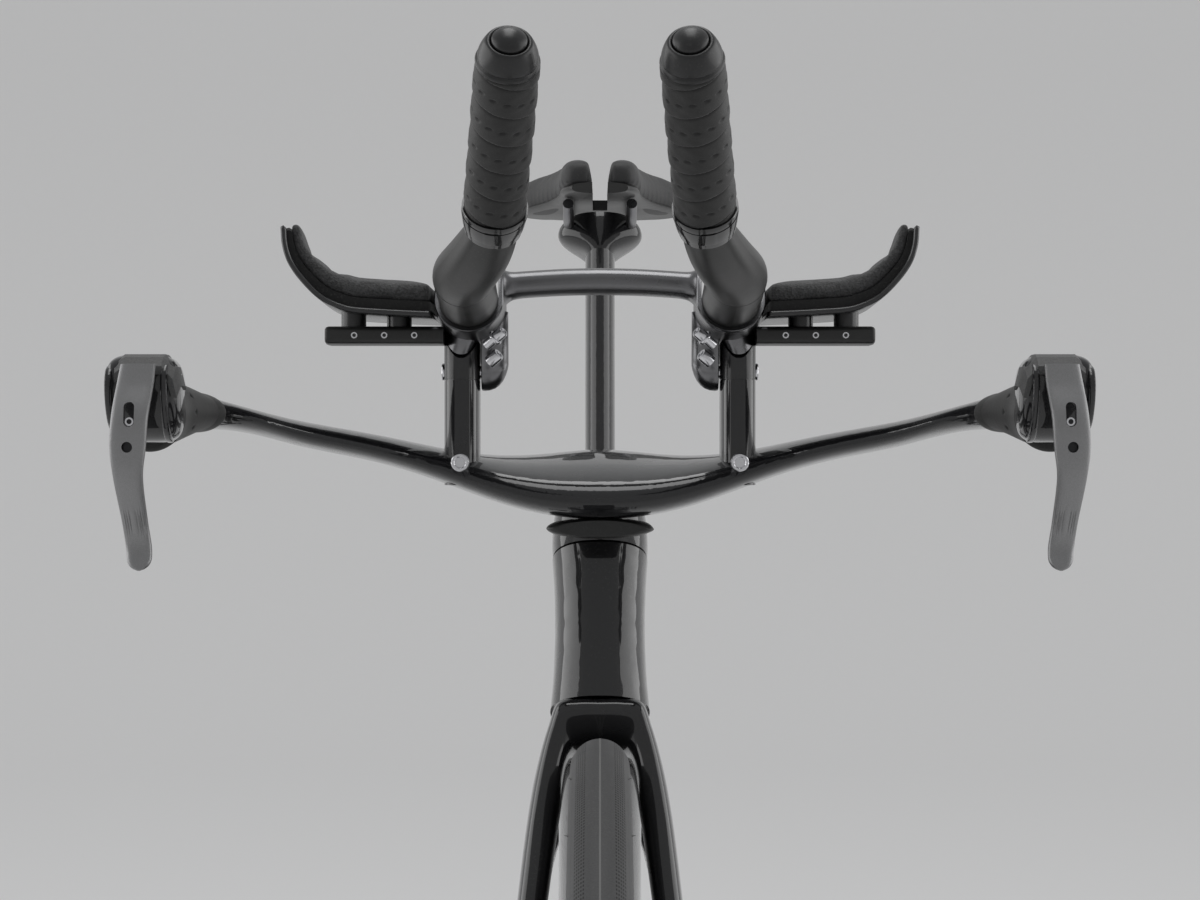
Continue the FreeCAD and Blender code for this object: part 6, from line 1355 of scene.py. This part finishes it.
FOOT_BOLT = lathe(((0.0, -8.0), (4.3, -8.0), (4.3, 0.1), (4.0, 0.5), (3.0, 0.55), (2.7, 0.3), (2.5, 0.1),
                   (2.5, -1.8), (0.0, -1.8)), spot(RISER_SIDE, -377.6, 794.0), FORWARD, 40)
LEVER_PIN = lathe(((0.0, -16.8), (2.4, -16.8), (2.4, 16.8), (0.0, 16.8)),
                  spot(LEVER_SIDE, -456.0, 832.0), ACROSS, 24)
foot_bolts = add_piece("riser_foot_bolts", both(merged(FOOT_BOLT, LEVER_PIN)), "steel", 30.0)
settle(foot_bolts, "front_end", "steel", "cockpit_bolts")
bracket_shape = merged(crossbar(), both(merged(cradle_shell(), cradle_foot(), tilt_lug())))
bracket = add_piece("tilt_bracket", bracket_shape, "satin_alloy", 38.0)
settle(bracket, "upper_cockpit", "satin_alloy", "extension_bridge")

BOLT_WAY = Vector((-0.72, -0.34, 0.6)).normalized()
CLAMP_BOLT = lathe(((0.0, -6.0), (2.4, -6.0), (2.4, -0.6), (3.6, -0.6), (3.7, -0.3), (3.7, 0.5), (3.5, 0.8),
                    (2.9, 0.8), (2.9, 5.2), (2.5, 5.7), (1.7, 5.7), (1.5, 5.4), (1.5, 3.4), (0.0, 3.4)),
                   spot(50.0, -383.0, 853.4), BOLT_WAY, 32)
LOWER_BOLT = lathe(((0.0, -3.4), (3.1, -3.4), (3.1, 2.6), (2.7, 3.1), (1.8, 3.1), (1.6, 2.8), (1.6, 1.0),
                    (0.0, 1.0)), spot(50.8, -369.0, 844.4), BOLT_WAY, 32)
TILT_PIN = lathe(((0.0, 48.0), (3.0, 48.0), (3.0, 75.6), (4.2, 75.8), (4.2, 76.6), (3.8, 77.0), (2.0, 77.0),
                  (1.9, 76.0), (0.0, 76.0)), spot(0.0, RISER_BACK, TILT_HEIGHT), ACROSS, 32)
bolts = add_piece("bracket_bolts", both(merged(CLAMP_BOLT, LOWER_BOLT, TILT_PIN)), "steel", 40.0)
settle(bolts, "upper_cockpit", "steel", "tilt_bolts")


# Pad rails

RAIL_HEIGHT = 855.0
RAIL_HALF_DEPTH = 14.0
RAIL_HALF_THICKNESS = 4.5
RAIL_ROWS = ((75.2, 0.0), (76.0, 0.0), (130.4, 0.0), (131.5, 0.3), (132.0, 1.0))
SET_SCREWS = lathe(((0.0, -1.5), (1.75, -1.5), (1.75, 0.1), (1.5, 0.4), (0.9, 0.4), (0.8, 0.2), (0.8, -0.7),
                    (0.0, -0.7)), ORIGIN, UP, 16)
FIRST_SCREW = 89.0
SCREW_GAP = 14.4
SCREW_FRONT = -375.7


def rail_shape():
    """Flat rounded rail beside one cradle."""
    return loft([rounded_ring(spot(x, BRIDGE_Y, RAIL_HEIGHT), BACKWARD, UP, RAIL_HALF_DEPTH - trim,
                              RAIL_HALF_THICKNESS - trim, 5.0, 64) for x, trim in RAIL_ROWS])


pad_bars = add_piece("pad_rail_bars", both(rail_shape()), "matte_composite", 50.0)
settle(pad_bars, "upper_cockpit", "matte_composite", "pad_rails")
places = [(spot(side * (FIRST_SCREW + SCREW_GAP * k), SCREW_FRONT, RAIL_HEIGHT), facing(FORWARD))
          for side in (-1.0, 1.0) for k in range(3)]
settle(set_on_points("rail_set_screws", places, SET_SCREWS, "steel", 40.0), "upper_cockpit", "steel")


# Fork

STEER_FOOT = spot(0.0, -457.2025, 322.0942)
STEER_UP = Vector((0.0, 0.309017, 0.951057))
FORK_ROWS = (
    # inner x, inner z, outer x, outer z, front y, back y, shear
    (0.0, 650.0, 0.0, 674.4, -375.0, -318.0, 1.0),
    (7.0, 649.4, 11.0, 674.4, -375.2, -318.0, 1.0),
    (12.6, 646.6, 20.6, 672.4, -375.8, -318.6, 1.0),
    (15.6, 641.6, 25.4, 661.0, -377.4, -321.0, 0.85),
    (17.4, 633.6, 29.6, 647.0, -381.0, -327.0, 0.6),
    (19.2, 622.0, 33.4, 630.0, -387.6, -336.0, 0.3),
    (22.6, 600.0, 37.4, 602.0, -401.7, -353.5, 0.1),
    (29.4, 550.0, 43.2, 550.0, -423.8, -377.0, 0.0),
    (34.9, 500.0, 47.9, 500.0, -445.5, -401.4, 0.0),
    (39.1, 460.0, 51.4, 460.0, -463.1, -421.4, 0.0),
    (43.7, 420.0, 55.5, 420.0, -481.2, -441.9, 0.0),
    (48.1, 380.0, 59.3, 380.0, -498.7, -462.4, 0.0),
    (50.0, 350.0, 60.2, 350.0, -510.8, -478.0, 0.0),
    (50.0, 336.0, 60.0, 336.0, -513.0, -486.0, 0.0),
    (50.3, 326.0, 59.4, 326.0, -509.5, -490.0, 0.0),
    (51.5, 322.0, 58.4, 322.0, -505.0, -494.0, 0.0),
)
CROWN_SLOPE = 0.325
CROWN_MIDDLE = -345.0


def fork_shape():
    """One arched fork: crown and both blades as a swept, flat-fronted section."""
    rows = smooth_line(FORK_ROWS, 150)
    flip = np.array([-1.0, 1.0, -1.0, 1.0, 1.0, 1.0, 1.0])
    rows = [row * flip for row in reversed(rows)] + list(rows[1:])
    rings = []
    for inner_x, inner_z, outer_x, outer_z, front, back, shear in rows:
        inner = spot(inner_x, 0.0, inner_z)
        outer = spot(outer_x, 0.0, outer_z)
        middle = (inner + outer) / 2.0
        middle.y = (front + back) / 2.0 * MM
        ring = rounded_ring(middle, (outer - inner).normalized(), BACKWARD, (outer - inner).length / 2.0 / MM,
                            (back - front) / 2.0, 3.4, 72)
        for item in ring:
            item.z -= CROWN_SLOPE * shear * (item.y - CROWN_MIDDLE * MM)
        rings.append(ring)
    return loft(rings)


STEERER = lathe(((0.0, 362.0), (14.3, 362.0), (14.3, 484.0), (0.0, 484.0)), STEER_FOOT, STEER_UP, 48)
fork = add_piece("arched_fork", merged(fork_shape(), STEERER), "gloss_frame", 50.0)
settle(fork, "front_end", "gloss_frame", "fork")


# Stage, light and camera

FLOOR_RADIUS = 6.0
SWEEP_RADIUS = 2.0
FLOOR_DROP = 0.0006
BACKDROP_GLOW = 0.34


def pale_paper():
    """Paper that glows a little where the camera or a mirror sees it."""
    made, tree, shader = blank("pale_paper")
    fleck = placed(tree, FINE_GRAIN, {"Scale": 60.0, "Contrast": 0.01, "Stretch": EVEN})
    rays = node(tree, "ShaderNodeLightPath").outputs
    mirrored_rays = math_node(tree, "MAXIMUM", rays["Is Glossy Ray"], rays["Is Transmission Ray"])
    seen = math_node(tree, "MAXIMUM", rays["Is Camera Ray"], mirrored_rays)
    fill(tree, shader.inputs, {"Base Color": shaded(tree, tone(0.42, 0.42, 0.423), fleck["Shade"]),
                               "Roughness": 0.9, "Specular IOR Level": 0.1, "Emission Color": tone(1.0),
                               "Emission Strength": math_node(tree, "MULTIPLY", seen, BACKDROP_GLOW)})
    return made


def stage_floor():
    """Pale round floor that sweeps up into a wall all round."""
    rows = [(0.0, 0.0), (2.0, 0.0), (5.0, 0.0), (FLOOR_RADIUS, 0.0)]
    for degrees in range(6, 91, 6):
        angle = math.radians(degrees)
        rows.append((FLOOR_RADIUS + SWEEP_RADIUS * math.sin(angle),
                     SWEEP_RADIUS - SWEEP_RADIUS * math.cos(angle)))
    rows += [(8.0, 3.5), (8.0, 5.0)]
    angles = [TURN * k / 96 for k in range(96)]
    rings = [[Vector((radius * math.cos(angle), radius * math.sin(angle), z - FLOOR_DROP))
              for angle in angles] for radius, z in rows]
    FINISHES["pale_paper"] = pale_paper()
    floor = add_piece("studio_floor", loft(rings, caps=False), "pale_paper", 60.0)
    floor.data.flip_normals()


def soft_box(name, place, aim, size, power):
    """Rectangular soft light aimed at a point."""
    lamp = bpy.data.lights.new(name, "AREA")
    lamp.shape = "RECTANGLE"
    lamp.size, lamp.size_y = size
    lamp.energy = power
    made = add_object(name, lamp)
    made.location = place
    made.rotation_euler = (Vector(aim) - Vector(place)).to_track_quat("-Z", "Y").to_euler()


stage_floor()
soft_box("left_sheet", (-2.3, -0.1, 1.3), (0.0, -0.1, 0.8), (3.2, 2.0), 30.0)
soft_box("right_sheet", (2.3, -0.1, 1.3), (0.0, -0.1, 0.8), (3.2, 2.0), 30.0)
soft_box("top_sheet", (0.0, -0.2, 3.2), (0.0, -0.2, 0.5), (1.0, 2.4), 22.0)
world = bpy.data.worlds.new("studio")
bpy.context.scene.world = world
world.use_nodes = True
sky = world.node_tree.nodes["Background"].inputs
sky["Color"].default_value = tone(0.93, 0.94, 0.95)
sky["Strength"].default_value = 0.5
lens = bpy.data.cameras.new("photo_view")
lens.lens = 93.87
lens.sensor_width = 36.0
lens.sensor_fit = "HORIZONTAL"
camera = add_object("photo_view", lens)
camera.location = (0.0, -1.875, 0.8)
camera.rotation_euler = (math.radians(90.0), 0.0, 0.0)
bpy.context.scene.camera = camera
bpy.context.scene.view_settings.view_transform = "Standard"
